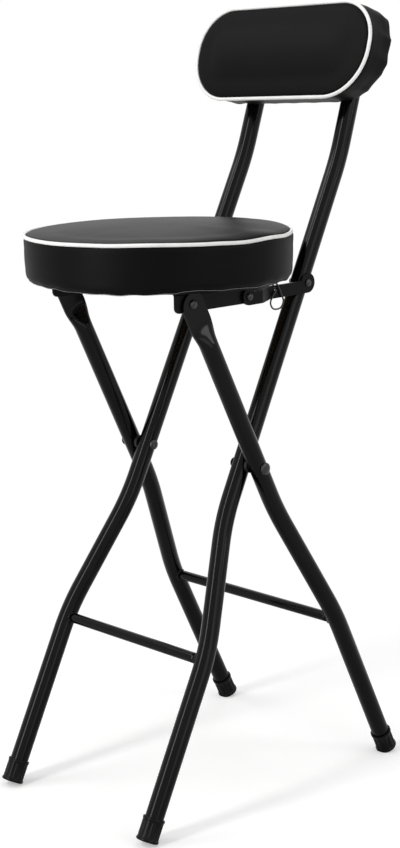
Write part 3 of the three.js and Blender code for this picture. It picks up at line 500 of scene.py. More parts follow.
def dome(radius, height, base=0.0, steps=9):
    """Profile of a dome over a base height, without its rim."""
    turns = [math.pi / 2 * k / steps for k in range(1, steps + 1)]
    return [(radius * math.cos(a), base + height * math.sin(a)) for a in turns]


Rivet = namedtuple("Rivet", "shank head head_height tail tail_height")
CROSS_RIVET = Rivet(4, 7.5, 3, 6.5, 2.4)
LEG_RIVET = Rivet(3, 5.4, 2.6, 4.6, 1.8)
LINK_RIVET = Rivet(2.6, 4.6, 2.4, 4.6, 1.8)

# Shares of radius and height: the rolled tail of a rivet, and the foot and rim of its head
TAIL_SHAPE = [(0, 0.82), (0.3, 0.86), (0.36, 1), (0.7, 1), (0.92, 0.66), (1, 0.2), (1, 0)]
HEAD_FOOT = 0.97
HEAD_RIM = 0.12


def rivet(size, span):
    """Tail, shank over a span and domed head; a height of 0 leaves that end out."""
    profile = [(0, 0)]
    if size.tail_height > 0:
        profile = [(size.tail * r, -size.tail_height * h) for r, h in TAIL_SHAPE]
    profile += [(size.shank, 0), (size.shank, span)]
    if size.head_height > 0:
        rim = span + size.head_height * HEAD_RIM
        profile += [(size.head * HEAD_FOOT, span), (size.head, rim)]
        profile += dome(size.head, size.head_height * (1 - HEAD_RIM), rim)
    else:
        profile.append((0, span))
    return lathe(profile, 40)


LEAN = math.radians(LEG_LEAN)
LEG_TOP_AT = (-LEG_PIVOT * math.sin(LEAN), CROSS_HEIGHT + LEG_PIVOT * math.cos(LEAN))
LINK_REAR_AT = (LINK_REAR_PIVOT * math.sin(LEAN), CROSS_HEIGHT + LINK_REAR_PIVOT * math.cos(LEAN))

# Distances from the stool's middle. The link's front eye lies in the plane of the pressed leg.
INNER_X = upright_x(0)
OUTER_X = leg_x(0)
REAR_X = upright_x(LINK_REAR_PIVOT)
CRIMP_FACE = leg_x(LEG_PIVOT) - CRIMP_HALF_THICK
RAIL_BACK = CRIMP_FACE - PLATE_GAP - RAIL_THICK
LINK_REAR_FACE = REAR_X + TUBE_R + PLATE_GAP

# What each rivet passes through, from and to
CROSSING_SPAN = (INNER_X - TUBE_R, OUTER_X + TUBE_R)
LEG_TOP_SPAN = (RAIL_BACK, CRIMP_FACE + 2 * CRIMP_HALF_THICK)
LINK_FRONT_SPAN = (RAIL_BACK, CRIMP_FACE + LINK_THICK)
LINK_REAR_SPAN = (LINK_REAR_FACE, LINK_REAR_FACE + LINK_THICK)
UPRIGHT_SPAN = (REAR_X - TUBE_R, REAR_X + TUBE_R)

# The link's rear rivet is in two: its head turns with the link, its tail stays on the upright
HEAD_ONLY = LINK_RIVET._replace(tail_height=0)
TAIL_ONLY = LINK_RIVET._replace(head_height=0)
LINKS = {"right": "right_link", "left": "left_link"}

for name, node, size, (start, end), at, body, place in (
    ("cross_pin", "cross_rivet", CROSS_RIVET, CROSSING_SPAN, (0, 0), "back_frame", BACK),
    ("leg_top_pin", "leg_top_rivet", LEG_RIVET, LEG_TOP_SPAN, LEG_TOP_AT, "front_frame", STOOL),
    ("link_front_pin", "link_front_rivet", LINK_RIVET, LINK_FRONT_SPAN, LINK_FRONT_AT, "seat", STOOL),
    ("link_rear_pin", "link_rear_rivet", HEAD_ONLY, LINK_REAR_SPAN, LINK_REAR_AT, LINKS, STOOL),
    ("link_rear_tail", "link_rear_stub", TAIL_ONLY, UPRIGHT_SPAN, (0, LINK_REAR_PIVOT), "back_frame", BACK),
):
    # A head or a tail stands a little off the face that it holds
    if size.tail_height > 0:
        start -= SEATED_GAP
    if size.head_height > 0:
        end += SEATED_GAP
    pair(name, along_x(rivet(size, end - start), start, *at), body, "rivet_steel", place, node)


def cross_washer():
    """Spacer between the two tubes at their crossing, its edges bevelled."""
    thick = OUTER_X - INNER_X - 2 * TUBE_R - 2 * SEATED_GAP
    radius, bevel_in, bevel_up = 8.5, 0.6, 0.5
    flat = radius - bevel_in
    profile = [(0, 0), (flat, 0), (radius, bevel_up), (radius, thick - bevel_up), (flat, thick), (0, thick)]
    return along_x(lathe(profile), INNER_X + TUBE_R + SEATED_GAP, 0, 0)


def tube_plug():
    """Plug in the upright's top: a stem in the bore and a domed cap on the rim."""
    stem, stem_r, bevel, rim, cap_base, cap_height = 8, 9.6, 0.25, 0.3, 0.6, 2.7
    profile = [(0, -stem), (stem_r, -stem), (stem_r, rim), (TUBE_R - bevel, rim), (TUBE_R, cap_base)]
    verts, faces = lathe(profile + dome(TUBE_R, cap_height, cap_base))
    end, way = UPRIGHT_ROUTE[-1]
    aim = way.to_track_quat("Z", "Y").to_matrix()
    return [tuple(end + aim @ Vector(v)) for v in verts], faces


pair("cross_washer", cross_washer(), "back_frame", "black_plastic", BACK, "cross_spacer")
pair("tube_plug", tube_plug(), "back_frame", "black_plastic", BACK, "upright_plug")


# Rubber feet, fluted, their lowest edge worn flat on the floor

FLUTES = 10
FLUTE_POINTS = 14
FOOT_BOTTOM = -450.0
FOOT_R = TUBE_R + 1.5
BORE_R = TUBE_R + 0.3

# Rows of (radius, flute depth, height), from the middle of the sole up the outside, over
# the lip and down the bore
FOOT_ROWS = [
    (0.5, 0, 0.0), (FOOT_R - 3.2, 0, 0.0), (FOOT_R - 0.4, 0, 0.0), (FOOT_R + 0.4, 0, 0.4),
    (FOOT_R + 0.85, 0, 1.2), (FOOT_R + 0.85, 0, 2.9), (FOOT_R + 0.45, 0, 3.6), (FOOT_R, 0.2, 4.2),
    (FOOT_R, 1.0, 5.2), (FOOT_R - 0.05, 1.0, 21.6), (FOOT_R, 0.2, 23.4), (FOOT_R + 0.1, 0, 24.4),
    (FOOT_R + 0.55, 0, 25.2), (FOOT_R + 0.55, 0, 27.5), (FOOT_R + 0.2, 0, 28.0),
    (TUBE_R + 0.35, 0, 28.0), (BORE_R, 0, 26.5), (BORE_R, 0, 4.0), (0.5, 0, 4.0),
]


def foot(centre_x, lean):
    count = FLUTES * FLUTE_POINTS
    flank_from, flank = 0.5, 0.3
    rings = []
    for radius, depth, height in FOOT_ROWS:
        ring = []
        for j, (c, s) in enumerate(around(count)):
            swing = 0.5 - 0.5 * math.cos(FLUTES * 2 * math.pi * j / count)
            r = radius - depth * clamp((swing - flank_from) / flank)
            ring.append((centre_x + r * c, r * s, FOOT_BOTTOM + height))
        rings.append(ring)
    verts, faces = loft(rings)
    worn = []
    for v in verts:
        at = turn_x(lean) @ Vector(v)
        at.z = max(at.z, -CROSS_HEIGHT)
        worn.append(tuple(turn_x(-lean) @ at))
    return worn, faces


front_foot = foot(UPRIGHT_FOOT_X, -LEG_LEAN)
pair("fluted_front_foot", front_foot, "back_frame", "foot_rubber", BACK, "front_foot", 50)
pair("fluted_rear_foot", foot(LEG_FOOT_X, LEG_LEAN), "front_frame", "foot_rubber", FRONT, "rear_foot", 50)


# Pull ring: round wire on the same route as the frame's

HOLE_Y = 47.3
HOLE_R = 2.4
HOLE_MARGIN = 4.6
RING_DROP = 23.5
RING_HALF_WIDE = 11.5
RING_TURN_R = 3.3

# The ring's loop as shares of its half width and drop, down one side and up the other
LOOP_SHAPE = [
    (-0.2, 0.08), (-0.6, 0.3), (-0.97, 0.63), (-0.66, 0.92), (0, 1),
    (0.66, 0.92), (0.97, 0.63), (0.66, 0.27), (0.38, 0),
]


def link_top_edge(y):
    """Height of the link's upper edge at a distance from the cross pivot."""
    span = Vector((LINK_REAR_AT[0] - LINK_FRONT_AT[0], LINK_REAR_AT[1] - LINK_FRONT_AT[1]))
    tilt = math.atan2(span.y, span.x) - math.asin((LINK_REAR_R - LINK_FRONT_R) / span.length)
    down = Vector((math.sin(tilt), -math.cos(tilt)))
    front = Vector(LINK_FRONT_AT) + down * (LINK_FRONT_R - LINK_HEIGHT)
    rear = Vector(LINK_REAR_AT) + down * (LINK_REAR_R - LINK_HEIGHT)
    return front.y + (rear.y - front.y) * (y - front.x) / (rear.x - front.x)


def ring_route():
    """The wire's loop in front of the link, then its turn through the hole and over the edge."""
    turn_steps, start_side, way_back = 6, 0.2, 0.6
    hole_z = link_top_edge(HOLE_Y) - HOLE_MARGIN
    middle = LINK_REAR_FACE + LINK_THICK / 2
    steel_z = hole_z + (HOLE_R + HOLE_MARGIN) / 2
    points = []
    for wide, drop in LOOP_SHAPE:
        at = (middle + RING_TURN_R, HOLE_Y + RING_HALF_WIDE * wide, hole_z - RING_DROP * drop)
        points.append(Vector(at))
    for k in range(turn_steps + 1):
        a = 1.5 * math.pi * k / turn_steps
        side = RING_HALF_WIDE * start_side * max(0.0, 1 - 2 * k / turn_steps)
        at = (middle + RING_TURN_R * math.cos(a), HOLE_Y + side, steel_z + RING_TURN_R * math.sin(a))
        points.append(Vector(at))
    points.append(Vector((middle + RING_TURN_R * way_back, HOLE_Y, steel_z - RING_TURN_R)))
    return points


def smooth_loop(points, per=8):
    """Centripetal Catmull-Rom through a closed row of points."""
    made = []
    count = len(points)
    for i in range(count):
        p = [points[(i + k) % count] for k in (-1, 0, 1, 2)]
        t = [0.0]
        for k in range(3):
            t.append(t[-1] + math.sqrt((p[k + 1] - p[k]).length))
        for k in range(per):
            s = t[1] + (t[2] - t[1]) * k / per
            a = [p[m].lerp(p[m + 1], (s - t[m]) / (t[m + 1] - t[m])) for m in range(3)]
            b = [a[m].lerp(a[m + 1], (s - t[m]) / (t[m + 2] - t[m])) for m in range(2)]
            made.append(b[0].lerp(b[1], (s - t[1]) / (t[2] - t[1])))
    return made


def wire(route, radius, normal, sides=14):
    """Round bar round a closed route, its section turned as little as can be."""
    rings = []
    count = len(route)
    side = normal
    ways = [(route[(i + 1) % count] - route[i - 1]).normalized() for i in range(count)]
    for at, way in zip(route, ways):
        side = (side - way * side.dot(way)).normalized()
        across = way.cross(side)
        rings.append([tuple(at + side * (radius * c) + across * (radius * s)) for c, s in around(sides)])
    # The section comes back turned by some angle, which is spread over the whole loop
    first = Vector(rings[0][0]) - route[0]
    last = (side - ways[0] * side.dot(ways[0])).normalized()
    lag = math.atan2(ways[0].dot(last.cross(first)), last.dot(first))
    for i, (at, way) in enumerate(zip(route, ways)):
        twist = Matrix.Rotation(lag * i / count, 3, way)
        rings[i] = [tuple(at + twist @ (Vector(p) - at)) for p in rings[i]]
    return loft(rings, looped=True)


ring_skin = wire(smooth_loop(ring_route()), 1.0, Vector((1, 0, 0)))
piece("finger_ring", *ring_skin, "ring", "rivet_steel", STOOL, ["pull_ring"])


# Cushions. Their outline is a list of points, each with its outward direction and the point
# of the middle line that it belongs to. A row runs once round: it lies inset from the
# outline, at a height over the cushion's back, and a share of the way to the middle line.

Row = namedtuple("Row", "inset height share")

# The first rows line the pocket that the board fills
HIDDEN_ROWS = 5

# Fine form of a cover, in mm: the band that the piping hides, how far the seam's pull
# reaches, the puckers in it, and the slow unevenness of the wall and the top
SEAM_BAND = 2.6
SEAM_PULL = 5.0
PUCKER = 0.3
PUCKER_SIZE = 6.5
UNEVEN_WALL = 0.35
UNEVEN_TOP = 0.15
UNEVEN_WIDE = 34
UNEVEN_HIGH = 26

# The blown cover is let out by a little, and sinks in nowhere by more than this
LET_OUT = 1.2
MOST_SUNK = 1.0


def outline_round(radius, count):
    ways = [Vector(cs) for cs in around(count)]
    return [(way * radius, way, Vector((0, 0))) for way in ways]


def outline_pad(half_wide, half_high, top_r, bottom_r, spacing):
    """Outline with four round corners, from the right-hand end round over the top."""
    corners = [(1, 1, top_r), (-1, 1, top_r), (-1, -1, bottom_r), (1, -1, bottom_r)]
    arcs = []
    for quarter, (side, level, r) in enumerate(corners):
        centre = Vector((side * (half_wide - r), level * (half_high - r)))
        steps = max(2, round(r * math.pi / 2 / spacing))
        for k in range(steps + 1):
            a = math.pi / 2 * (quarter + k / steps)
            way = Vector((math.cos(a), math.sin(a)))
            arcs.append((centre + way * r, way))
    reach = half_wide - half_high
    made = []
    for (at, way), (after, way_after) in zip(arcs, arcs[1:] + arcs[:1]):
        steps = max(1, round((after - at).length / spacing))
        for k in range(steps):
            p = at.lerp(after, k / steps)
            n = way.lerp(way_after, k / steps).normalized()
            made.append((p, n, Vector((max(-reach, min(reach, p.x)), 0.0))))
    return made


def skin_of(outline, rows):
    rings = []
    for row in rows:
        points = [(at - way * row.inset).lerp(middle, row.share) for at, way, middle in outline]
        rings.append([(p.x, p.y, row.height) for p in points])
    return loft(rings)


def normals_of(points, faces):
    mesh = bpy.data.meshes.new("scratch")
    mesh.from_pydata(points, [], faces)
    mesh.update()
    found = [v.normal.copy() for v in mesh.vertices]
    bpy.data.meshes.remove(mesh)
    return found


def even_mesh(points, faces, voxel):
    """The skin as an object with a mesh of even small faces, in metres."""
    mesh = bpy.data.meshes.new("blow")
    mesh.from_pydata([tuple(p * MM) for p in points], [], faces)
    start = new_object("blow", mesh)
    remesh = start.modifiers.new("remesh", "REMESH")
    remesh.mode = "VOXEL"
    remesh.voxel_size = voxel * MM
    graph = bpy.context.evaluated_depsgraph_get()
    even = bpy.data.meshes.new_from_object(start.evaluated_get(graph))
    made = new_object("blow_cloth", even)
    bpy.data.objects.remove(start)
    return made


def add_cloth(target, held, frames):
    """Cloth under pressure on an object, held where held(point in mm) says."""
    group = target.vertex_groups.new(name="held")
    for v in target.data.vertices:
        if held(v.co / MM):
            group.add([v.index], 1.0, "REPLACE")
    cloth = target.modifiers.new("Cloth", "CLOTH")
    settings = cloth.settings
    settings.quality = 5
    settings.mass = 0.3
    settings.tension_stiffness = 15
    settings.compression_stiffness = 15
    settings.shear_stiffness = 5
    settings.bending_stiffness = 0.5
    settings.use_pressure = True
    settings.uniform_pressure_force = 4
    settings.vertex_group_mass = "held"
    settings.effector_weights.gravity = 0
    cloth.collision_settings.use_collision = False
    cloth.point_cache.frame_start = 1
    cloth.point_cache.frame_end = frames


def blown(points, faces, held, smaller=3.0, cap=6.0, voxel=6.0, frames=20):
    """How far a cloth skin under pressure stands from each point, along its normal.

    The skin starts a little smaller and is blown up for some frames, and no point of it
    moves further than the cap. Everything in mm.
    """
    normals = normals_of(points, faces)
    small = [Vector(p) - n * smaller for p, n in zip(points, normals)]
    cloth_object = even_mesh(small, faces, voxel)
    before = [v.co.copy() for v in cloth_object.data.vertices]
    add_cloth(cloth_object, held, frames)
    for number in range(1, frames + 1):
        bpy.context.scene.frame_set(number)
    graph = bpy.context.evaluated_depsgraph_get()
    result = bpy.data.meshes.new_from_object(cloth_object.evaluated_get(graph))
    limit = cap * MM
    after = []
    for old, v in zip(before, result.vertices):
        move = v.co - old
        if move.length > limit:
            move = move * (limit / move.length)
        after.append(old + move)
    tree = BVHTree.FromPolygons(after, [tuple(p.vertices) for p in result.polygons])
    bpy.context.scene.frame_set(1)
    bpy.data.objects.remove(cloth_object)
    offsets = []
    for p, n in zip(points, normals):
        hit = tree.find_nearest(Vector(p) * MM)[0]
        offsets.append(0.0 if hit is None else (hit / MM - Vector(p)).dot(n))
    return normals, offsets


def evened(values, columns, passes=6):
    """Values on a grid of rows by columns, smoothed round and across."""
    rows = len(values) // columns
    grid = [values[i * columns:(i + 1) * columns] for i in range(rows)]
    for _ in range(passes):
        fresh = []
        for i, row in enumerate(grid):
            above, below = grid[max(0, i - 1)], grid[min(rows - 1, i + 1)]
            fresh.append([
                (2 * row[j] + row[j - 1] + row[(j + 1) % columns] + above[j] + below[j]) / 6
                for j in range(columns)
            ])
        grid = fresh
    return [v for row in grid for v in row]


def wave(j, count, waves, seed):
    """Uneven waves round a closed edge, about one for each staple."""
    slow_scale, fine_scale, drift = 1.3, 4, 2.5
    a = 2 * math.pi * j / count
    slow = noise.noise((slow_scale * math.cos(a), slow_scale * math.sin(a), seed))
    fine = noise.noise((fine_scale * math.cos(a), fine_scale * math.sin(a), seed + 7))
    return math.sin(waves * a + drift * slow + seed) * (0.75 + 0.5 * slow) + 0.5 * fine


# A staple's crown and its two legs: from and to along the staple, and the rise of the far side
STAPLE_PARTS = [(-5, 5, -0.7), (-5, -4.4, 0.9), (4.4, 5, 0.9)]
STAPLE_HALF_WIDE = 0.55
STAPLE_HALF_TIP = 0.4
STAPLE_HEIGHT = 0.15
BOX_FACES = [(0, 1, 2, 3), (7, 6, 5, 4), (0, 4, 5, 1), (1, 5, 6, 2), (2, 6, 7, 3), (3, 7, 4, 0)]


def staples(name, outline, inset, places, body, place):
    """Wire staples in a row along a hem, each a crown bar with its two short legs."""
    verts, faces = [], []
    for j in places:
        at, way, _ = outline[j]
        skew = 0.25 * math.sin(3.7 * j)
        along = (Vector((-way.y, way.x)) + way * skew).normalized()
        across = Vector((-along.y, along.x))
        for start, end, rise in STAPLE_PARTS:
            base = len(verts)
            for half, z in ((STAPLE_HALF_WIDE, STAPLE_HEIGHT), (STAPLE_HALF_TIP, STAPLE_HEIGHT + rise)):
                for x, y in ((start, -half), (end, -half), (end, half), (start, half)):
                    p = at - way * inset + along * x + across * y
                    verts.append((p.x, p.y, z))
            faces += [tuple(base + k for k in face) for face in BOX_FACES]
    piece(name, verts, faces, body, "zinc_screw", place, rounded=False)


def welt(name, outline, height, lift, body, place, node):
    """White piping along a seam, lift(j) over its level height."""
    route = [Vector((at.x, at.y, height + lift(j))) for j, (at, _, _) in enumerate(outline)]
    skin = wire(route, PIPING_R, Vector((0, 0, 1)))
    piece(name, *skin, body, "white_piping", place, [node])


def sewn_down(outline, face):
    """Test for the places where a cover is held: on its board and along its piping."""
    board_zone, seam_zone, seam_reach, every = 7, 5, 9, 6

    def held(p):
        if p.z < board_zone:
            return True
        if abs(p.z - face) >= seam_zone:
            return False
        return min((Vector((p.x, p.y)) - at).length for at, _, _ in outline[::every]) < seam_reach

    return held


def free_share(height, face, on_top):
    """0 where the cover is sewn or stapled down, 1 where it is free to swell."""
    hem, over_hem, seam, under_seam, welt_top, over_welt = 5, 12, 5, 9, 1.0, 3.0
    if on_top:
        return clamp((height - face - welt_top) / over_welt)
    return min(clamp((height - hem) / over_hem), clamp((face - seam - height) / under_seam))


def swelling(outline, rows, verts, face):
    """Normals of the outer rows' points, and how far the blown cover stands from each."""
    count = len(outline)
    points = verts[HIDDEN_ROWS * count:]
    outer = rows[HIDDEN_ROWS:]
    skin = loft([points[i * count:(i + 1) * count] for i in range(len(outer))])
    normals, offsets = blown(*skin, sewn_down(outline, face))
    offsets = evened(offsets, count)
    # Towards the middle each row's points take up their mean, so the top stays smooth there
    for i, row in enumerate(outer):
        if row.share:
            here = slice(i * count, (i + 1) * count)
            mean = sum(offsets[here]) / count
            keep = (1 - row.share) ** 1.5
            offsets[here] = [mean + (v - mean) * keep for v in offsets[here]]
    return normals, offsets


def cushion(name, outline, rows, face, lift, body, place, node, seed, swell, edge):
    """Cover over foam: rows of an outline, swollen, puckered along the seam and lifted with it.

    The seam runs at the face height, lift(j) over it. The cover swells by no more than
    swell, and edge(i, row, j, p) gives a point its last place.
    """
    count = len(outline)
    verts, faces = skin_of(outline, rows)
    normals, offsets = swelling(outline, rows, verts, face)
    seam_slack, level_to, tops_still = 0.2, 12, 8
    seam_row = next(i for i, row in enumerate(rows) if row.height >= face - seam_slack)
    made = []
    for i, row in enumerate(rows):
        on_top = i > seam_row
        free = free_share(row.height, face, on_top)
        seam = 0.0 if row.share else math.exp(-(((row.height - face) / SEAM_PULL) ** 2))
        carried = clamp((row.height - level_to) / (face - level_to - tops_still)) * (1 - row.share) ** 3
        for j in range(count):
            index = i * count + j
            p = Vector(verts[index])
            if i >= HIDDEN_ROWS:
                n = normals[index - HIDDEN_ROWS * count]
                stand = 0.0
                stand = max(-MOST_SUNK, min(swell, offsets[index - HIDDEN_ROWS * count] + LET_OUT))
                spot = ((p.x + seed * 50) / UNEVEN_WIDE, p.y / UNEVEN_WIDE, p.z / UNEVEN_HIGH)
                uneven = (UNEVEN_TOP if on_top else UNEVEN_WALL) * noise.noise(spot)
                p = p + n * ((stand + uneven) * free)
                if abs(row.height - face) > SEAM_BAND:
                    pucker = PUCKER * noise.noise((p.x / PUCKER_SIZE, p.y / PUCKER_SIZE, seed))
                    p = p + n * (pucker * seam)
                p.z += lift(j) * carried
            made.append(tuple(edge(i, row, j, p)))
    return piece(name, made, faces, body, "vinyl_cover", place, [node])


# Round seat

SEAT_PLACE = STOOL @ shift(0, SEAT_SHIFT, SEAT_BASE)
SEAT_COUNT = 216
SEAT_STAPLES = 27
SEAT_STAPLES_IN = 17
seat_line = outline_round(SEAT_R, SEAT_COUNT)

# Height of the seam over its level at angles round the seat: it dips and rises a little
SEAM_LEVELS = [
    (-95, -1.3), (-70, -0.4), (-45, 0.8), (-20, 0.1), (-6, -0.8), (10, 0.5), (26, -0.9), (60, 0.0),
    (110, 0.2), (150, -0.4), (200, -1.2), (230, -1.5),
]

# Height of the fold of the hem over the base at angles round the seat
HEM_LEVELS = [
    (-135, 1.6), (-100, 1.4), (-85, 0.3), (-73, -0.6), (-60, -0.9), (-52, 0.0), (-44, 0.9), (-38, 1.2),
    (-33, 3.2), (-20, 3.0), (-15, 1.8), (-7, 2.5), (0, 0.6), (8, 1.7), (18, 1.5), (30, 0.4), (60, 0.0),
    (150, 0.2), (200, 1.0),
]

# Hem under the board, wall, seam and rounded shoulder, then the crowned top
SEAT_WALL = [
    (21.5, 12.4), (9.7, 12.4), (9.7, 1.3), (21.5, 1.3), (21.5, 0.5), (16, 0.1), (11, 0.0), (7.6, 0.1),
    (5.0, 0.8), (3.4, 2.2), (1.9, 4.2), (0.9, 7), (0.1, 11.5), (-0.4, 16.5), (-0.8, 22), (-1.0, 28),
    (-1.1, 34), (-1.0, 40), (-0.8, 45), (-0.4, 49), (0.2, 51.3), (1.3, 52.9), (2.4, 54.3), (2.9, 55.4),
    (3.6, 56.2), (5.0, 57.0), (7.5, 57.8), (11, 58.5), (16, 59.2), (22, 59.8),
]
SEAT_TOP_SHARES = (0.05, 0.1, 0.15, 0.21, 0.28, 0.36, 0.44, 0.52, 0.6, 0.68, 0.76, 0.84, 0.91, 0.97)


def crowned_rows(wall, crown, power, shares):
    """Rows of a wall, then of a top that rises by its crown towards the middle line."""
    inset, shoulder = wall[-1]
    rows = [Row(*row, 0.0) for row in wall]
    return rows + [Row(inset, shoulder + crown * (1 - (1 - s) ** power), s) for s in shares]


def seat_lift(j):
    return table_value(SEAM_LEVELS, 360 * j / SEAT_COUNT)


def hem_wave(j):
    return wave(j, SEAT_COUNT, SEAT_STAPLES, seed=1.7)


def hem_height(j):
    """How far the fold of the seat's hem stands over its base: it waves between staples."""
    return table_value(HEM_LEVELS, 360 * j / SEAT_COUNT) + 0.5 * hem_wave(j)


def seat_edge(i, row, j, p):
    """The hem waves, and sags by the right link. The top is fullest at the rear right."""
    top_from, full, full_angle, rim = 56, 2.2, math.radians(42), 0.93
    hem_to, fold, sag, sag_angle, sag_width = 20, 7, 3.4, 4, 7
    if row.height > top_from:
        reach = math.hypot(p.x, p.y) / SEAT_R
        toward = (p.x * math.cos(full_angle) + p.y * math.sin(full_angle)) / SEAT_R
        p.z += full * smooth(0.0, 1.0, toward) * (1 - smooth(rim, 1.0, reach))
    if i >= HIDDEN_ROWS and row.height < hem_to:
        if row.inset < fold:
            p.z += hem_height(j) * (1 - smooth(4, 14, row.height))
        else:
            angle = (360 * j / SEAT_COUNT + 180) % 360 - 180
            loose = math.exp(-(((angle - sag_angle) / sag_width) ** 2))
            p.z += 0.4 * hem_wave(j) - sag * loose
    return p


seat_rows = crowned_rows(SEAT_WALL, crown=2.2, power=2.2, shares=SEAT_TOP_SHARES)
seat_pad = cushion(
    "upholstered_seat", seat_line, seat_rows, SEAT_FACE, seat_lift, "seat", SEAT_PLACE, "seat_cushion",
    seed=1.0, swell=2.2, edge=seat_edge,
)

# The piping is sewn a little inside the outline, and slightly off its middle
WELT_IN = 1.2
WELT_SHIFT = Vector((-0.8, -0.8))
welt_line = [(at - way * WELT_IN + WELT_SHIFT, way, middle) for at, way, middle in seat_line]
welt("seat_welt", welt_line, SEAT_FACE, seat_lift, "seat", SEAT_PLACE, "seat_piping")


def hem_ribbon():
    """A pale strip along the fold of the hem: a painted highlight where the bend of the cover catches the light.
    """
    section = ((4.3, 0.55), (4.4, 0.15), (5.2, 0.05), (5.4, 0.6))
    rings = []
    for j, (at, way, _) in enumerate(seat_line):
        points = [(at - way * inset, height + hem_height(j)) for inset, height in section]
        rings.append([(p.x, p.y, z) for p, z in points])
    return loft(rings, looped=True)


# The pale strip along the hem is a painted highlight
piece("seat_hem_painted_highlight", *hem_ribbon(), "seat", "vinyl_cover", SEAT_PLACE, material=HEM_HIGHLIGHT)
places = range(0, SEAT_COUNT, SEAT_COUNT // SEAT_STAPLES)
staples("seat_staples", seat_line, SEAT_STAPLES_IN, places, "seat", SEAT_PLACE)


# Backrest

PAD_ASKEW = 1.7
PAD_FORWARD = 11.4
PAD_HEIGHT = 115.5
PAD_PLACE = UPPER @ shift(0, -PAD_FORWARD, PAD_HEIGHT) @ turn_x(90)
PAD_PLACE = PAD_PLACE @ Matrix.Rotation(math.radians(PAD_ASKEW), 4, "Z")
PAD_FACE = 46.7
PAD_STAPLES_IN = 20
HEM_END = 26.5
GATHER_SLACK = 0.5
pad_line = outline_pad(half_wide=140.4, half_high=58.4, top_r=52, bottom_r=58, spacing=3.6)
PAD_COUNT = len(pad_line)

PAD_WALL = [
    (HEM_END, 9.4), (14.7, 9.4), (14.7, 1.4), (HEM_END, 1.4), (HEM_END, 0.5), (21, 0.2), (16, 0.1),
    (12.4, 0.2), (11, 0.8), (10, 2.2), (9.1, 4.2), (7.8, 7.5), (6.3, 12), (4.8, 17), (3.4, 22), (2.2, 27),
    (1.2, 32), (0.6, 36), (0.3, 40), (0.5, 42.6), (1.1, 44.3), (1.9, 45.5), (2.6, 46.7), (3.0, 47.9),
    (3.9, 48.9), (5.6, 49.6), (8.5, 50.2), (12.5, 50.7), (18, 51.1), (25, 51.4),
]
PAD_TOP_SHARES = (0.09, 0.2, 0.32, 0.45, 0.58, 0.71, 0.84, 0.95)

# Lengths along the outline from its right-hand end round over the top, first the outline's
# own points, then the staples
arc = [0.0]
for (at, _, _), (after, _, _) in zip(pad_line, pad_line[1:] + pad_line[:1]):
    arc.append(arc[-1] + (after - at).length)
GIRTH = arc[-1]
STAPLE_ARCS = [
    18, 45, 80, 113, 146, 179, 212, 245, 278, 309, 338, 366, 394, 424, 456, 488, 520, 552, 590, 624, 643,
    673, 688,
]

# How far the cover is drawn in at the back, by the direction that the outline faces
DRAWN_IN = [
    (-90, 6.3), (-69, 7.8), (-50, 8.0), (-21, 6.0), (-6, 3.8), (20, 2.0), (48, -3.6), (66, -5.0),
    (80, -2.0), (95, 2.0), (180, 3.5), (225, 1.5), (250, 4.5),
]


def pad_point(length):
    """Number of the outline's point nearest to a length along it."""
    return min(range(PAD_COUNT), key=lambda m: abs(arc[m] - length))


def gather(j):
    """Depth of the flat gather between two staples at a point of the outline."""
    ends = STAPLE_ARCS[1:] + [STAPLE_ARCS[0] + GIRTH]
    here = arc[j] if arc[j] >= STAPLE_ARCS[0] else arc[j] + GIRTH
    for start, end in zip(STAPLE_ARCS, ends):
        if start <= here < end:
            turn = pad_line[pad_point(start)][1].angle(pad_line[pad_point(end % GIRTH)][1])
            phase = (here - start) / (end - start)
            arc_rise = (end - start) * turn / 8
            return (arc_rise + GATHER_SLACK) * 4 * phase * (1 - phase)
    return 0.0


GATHERS = [gather(j) for j in range(PAD_COUNT)]


def pad_edge(i, row, j, p):
    """The cover is drawn in and held by staples at the back, with flat gathers between them."""
    hem_top, gather_top, seam, draw = 2, 36, 45.6, 10
    bulge, bulge_facing, bulge_width = 4.2, 62, 24
    if row.share or i < HIDDEN_ROWS or row.height > seam:
        return p
    way = pad_line[j][1]
    facing = math.degrees(math.atan2(way.y, way.x))
    under_board = min(1.0, (HEM_END - row.inset) / (HEM_END - draw))
    reach = min(draw, row.inset) if row.height > hem_top else draw * under_board
    out = (draw - table_value(DRAWN_IN, facing)) / draw * reach
    depth = GATHERS[j] * (1 - smooth(0, gather_top, row.height)) * under_board
    full = bulge * math.exp(-(((facing - bulge_facing) / bulge_width) ** 2))
    full *= smooth(2, 14, row.height) * (1 - smooth(38, 45.8, row.height))
    full *= clamp((46 - row.height) / 20 + 0.2)
    return p + Vector((way.x, way.y, 0)) * (out + full - depth)


def level_seam(j):
    return 0.0


pad_rows = crowned_rows(PAD_WALL, crown=3.6, power=2, shares=PAD_TOP_SHARES)
pad = cushion(
    "upholstered_backrest", pad_line, pad_rows, PAD_FACE, level_seam, "back_frame", PAD_PLACE,
    "backrest_cushion", seed=4.0, swell=1.6, edge=pad_edge,
)
welt("backrest_welt", pad_line, PAD_FACE, level_seam, "back_frame", PAD_PLACE, "backrest_piping")

# No staple lies behind an upright
UPRIGHT_ZONE = (60, 98)
places = [pad_point(length) for length in STAPLE_ARCS]
places = [j for j in places if not UPRIGHT_ZONE[0] < abs(pad_line[j][0].x) < UPRIGHT_ZONE[1]]
staples("backrest_staples", pad_line, PAD_STAPLES_IN, places, "back_frame", PAD_PLACE)


# Camera, fitted to the tube outlines of the photograph

CAMERA_AT = Vector((1.482514, -1.453553, 0.890542))
CAMERA_HEADING = 45.30707
CAMERA_DIP = 12.1863
CAMERA_ROLL = -0.7101
LENS = 73.925
PICTURE_HEIGHT = 848


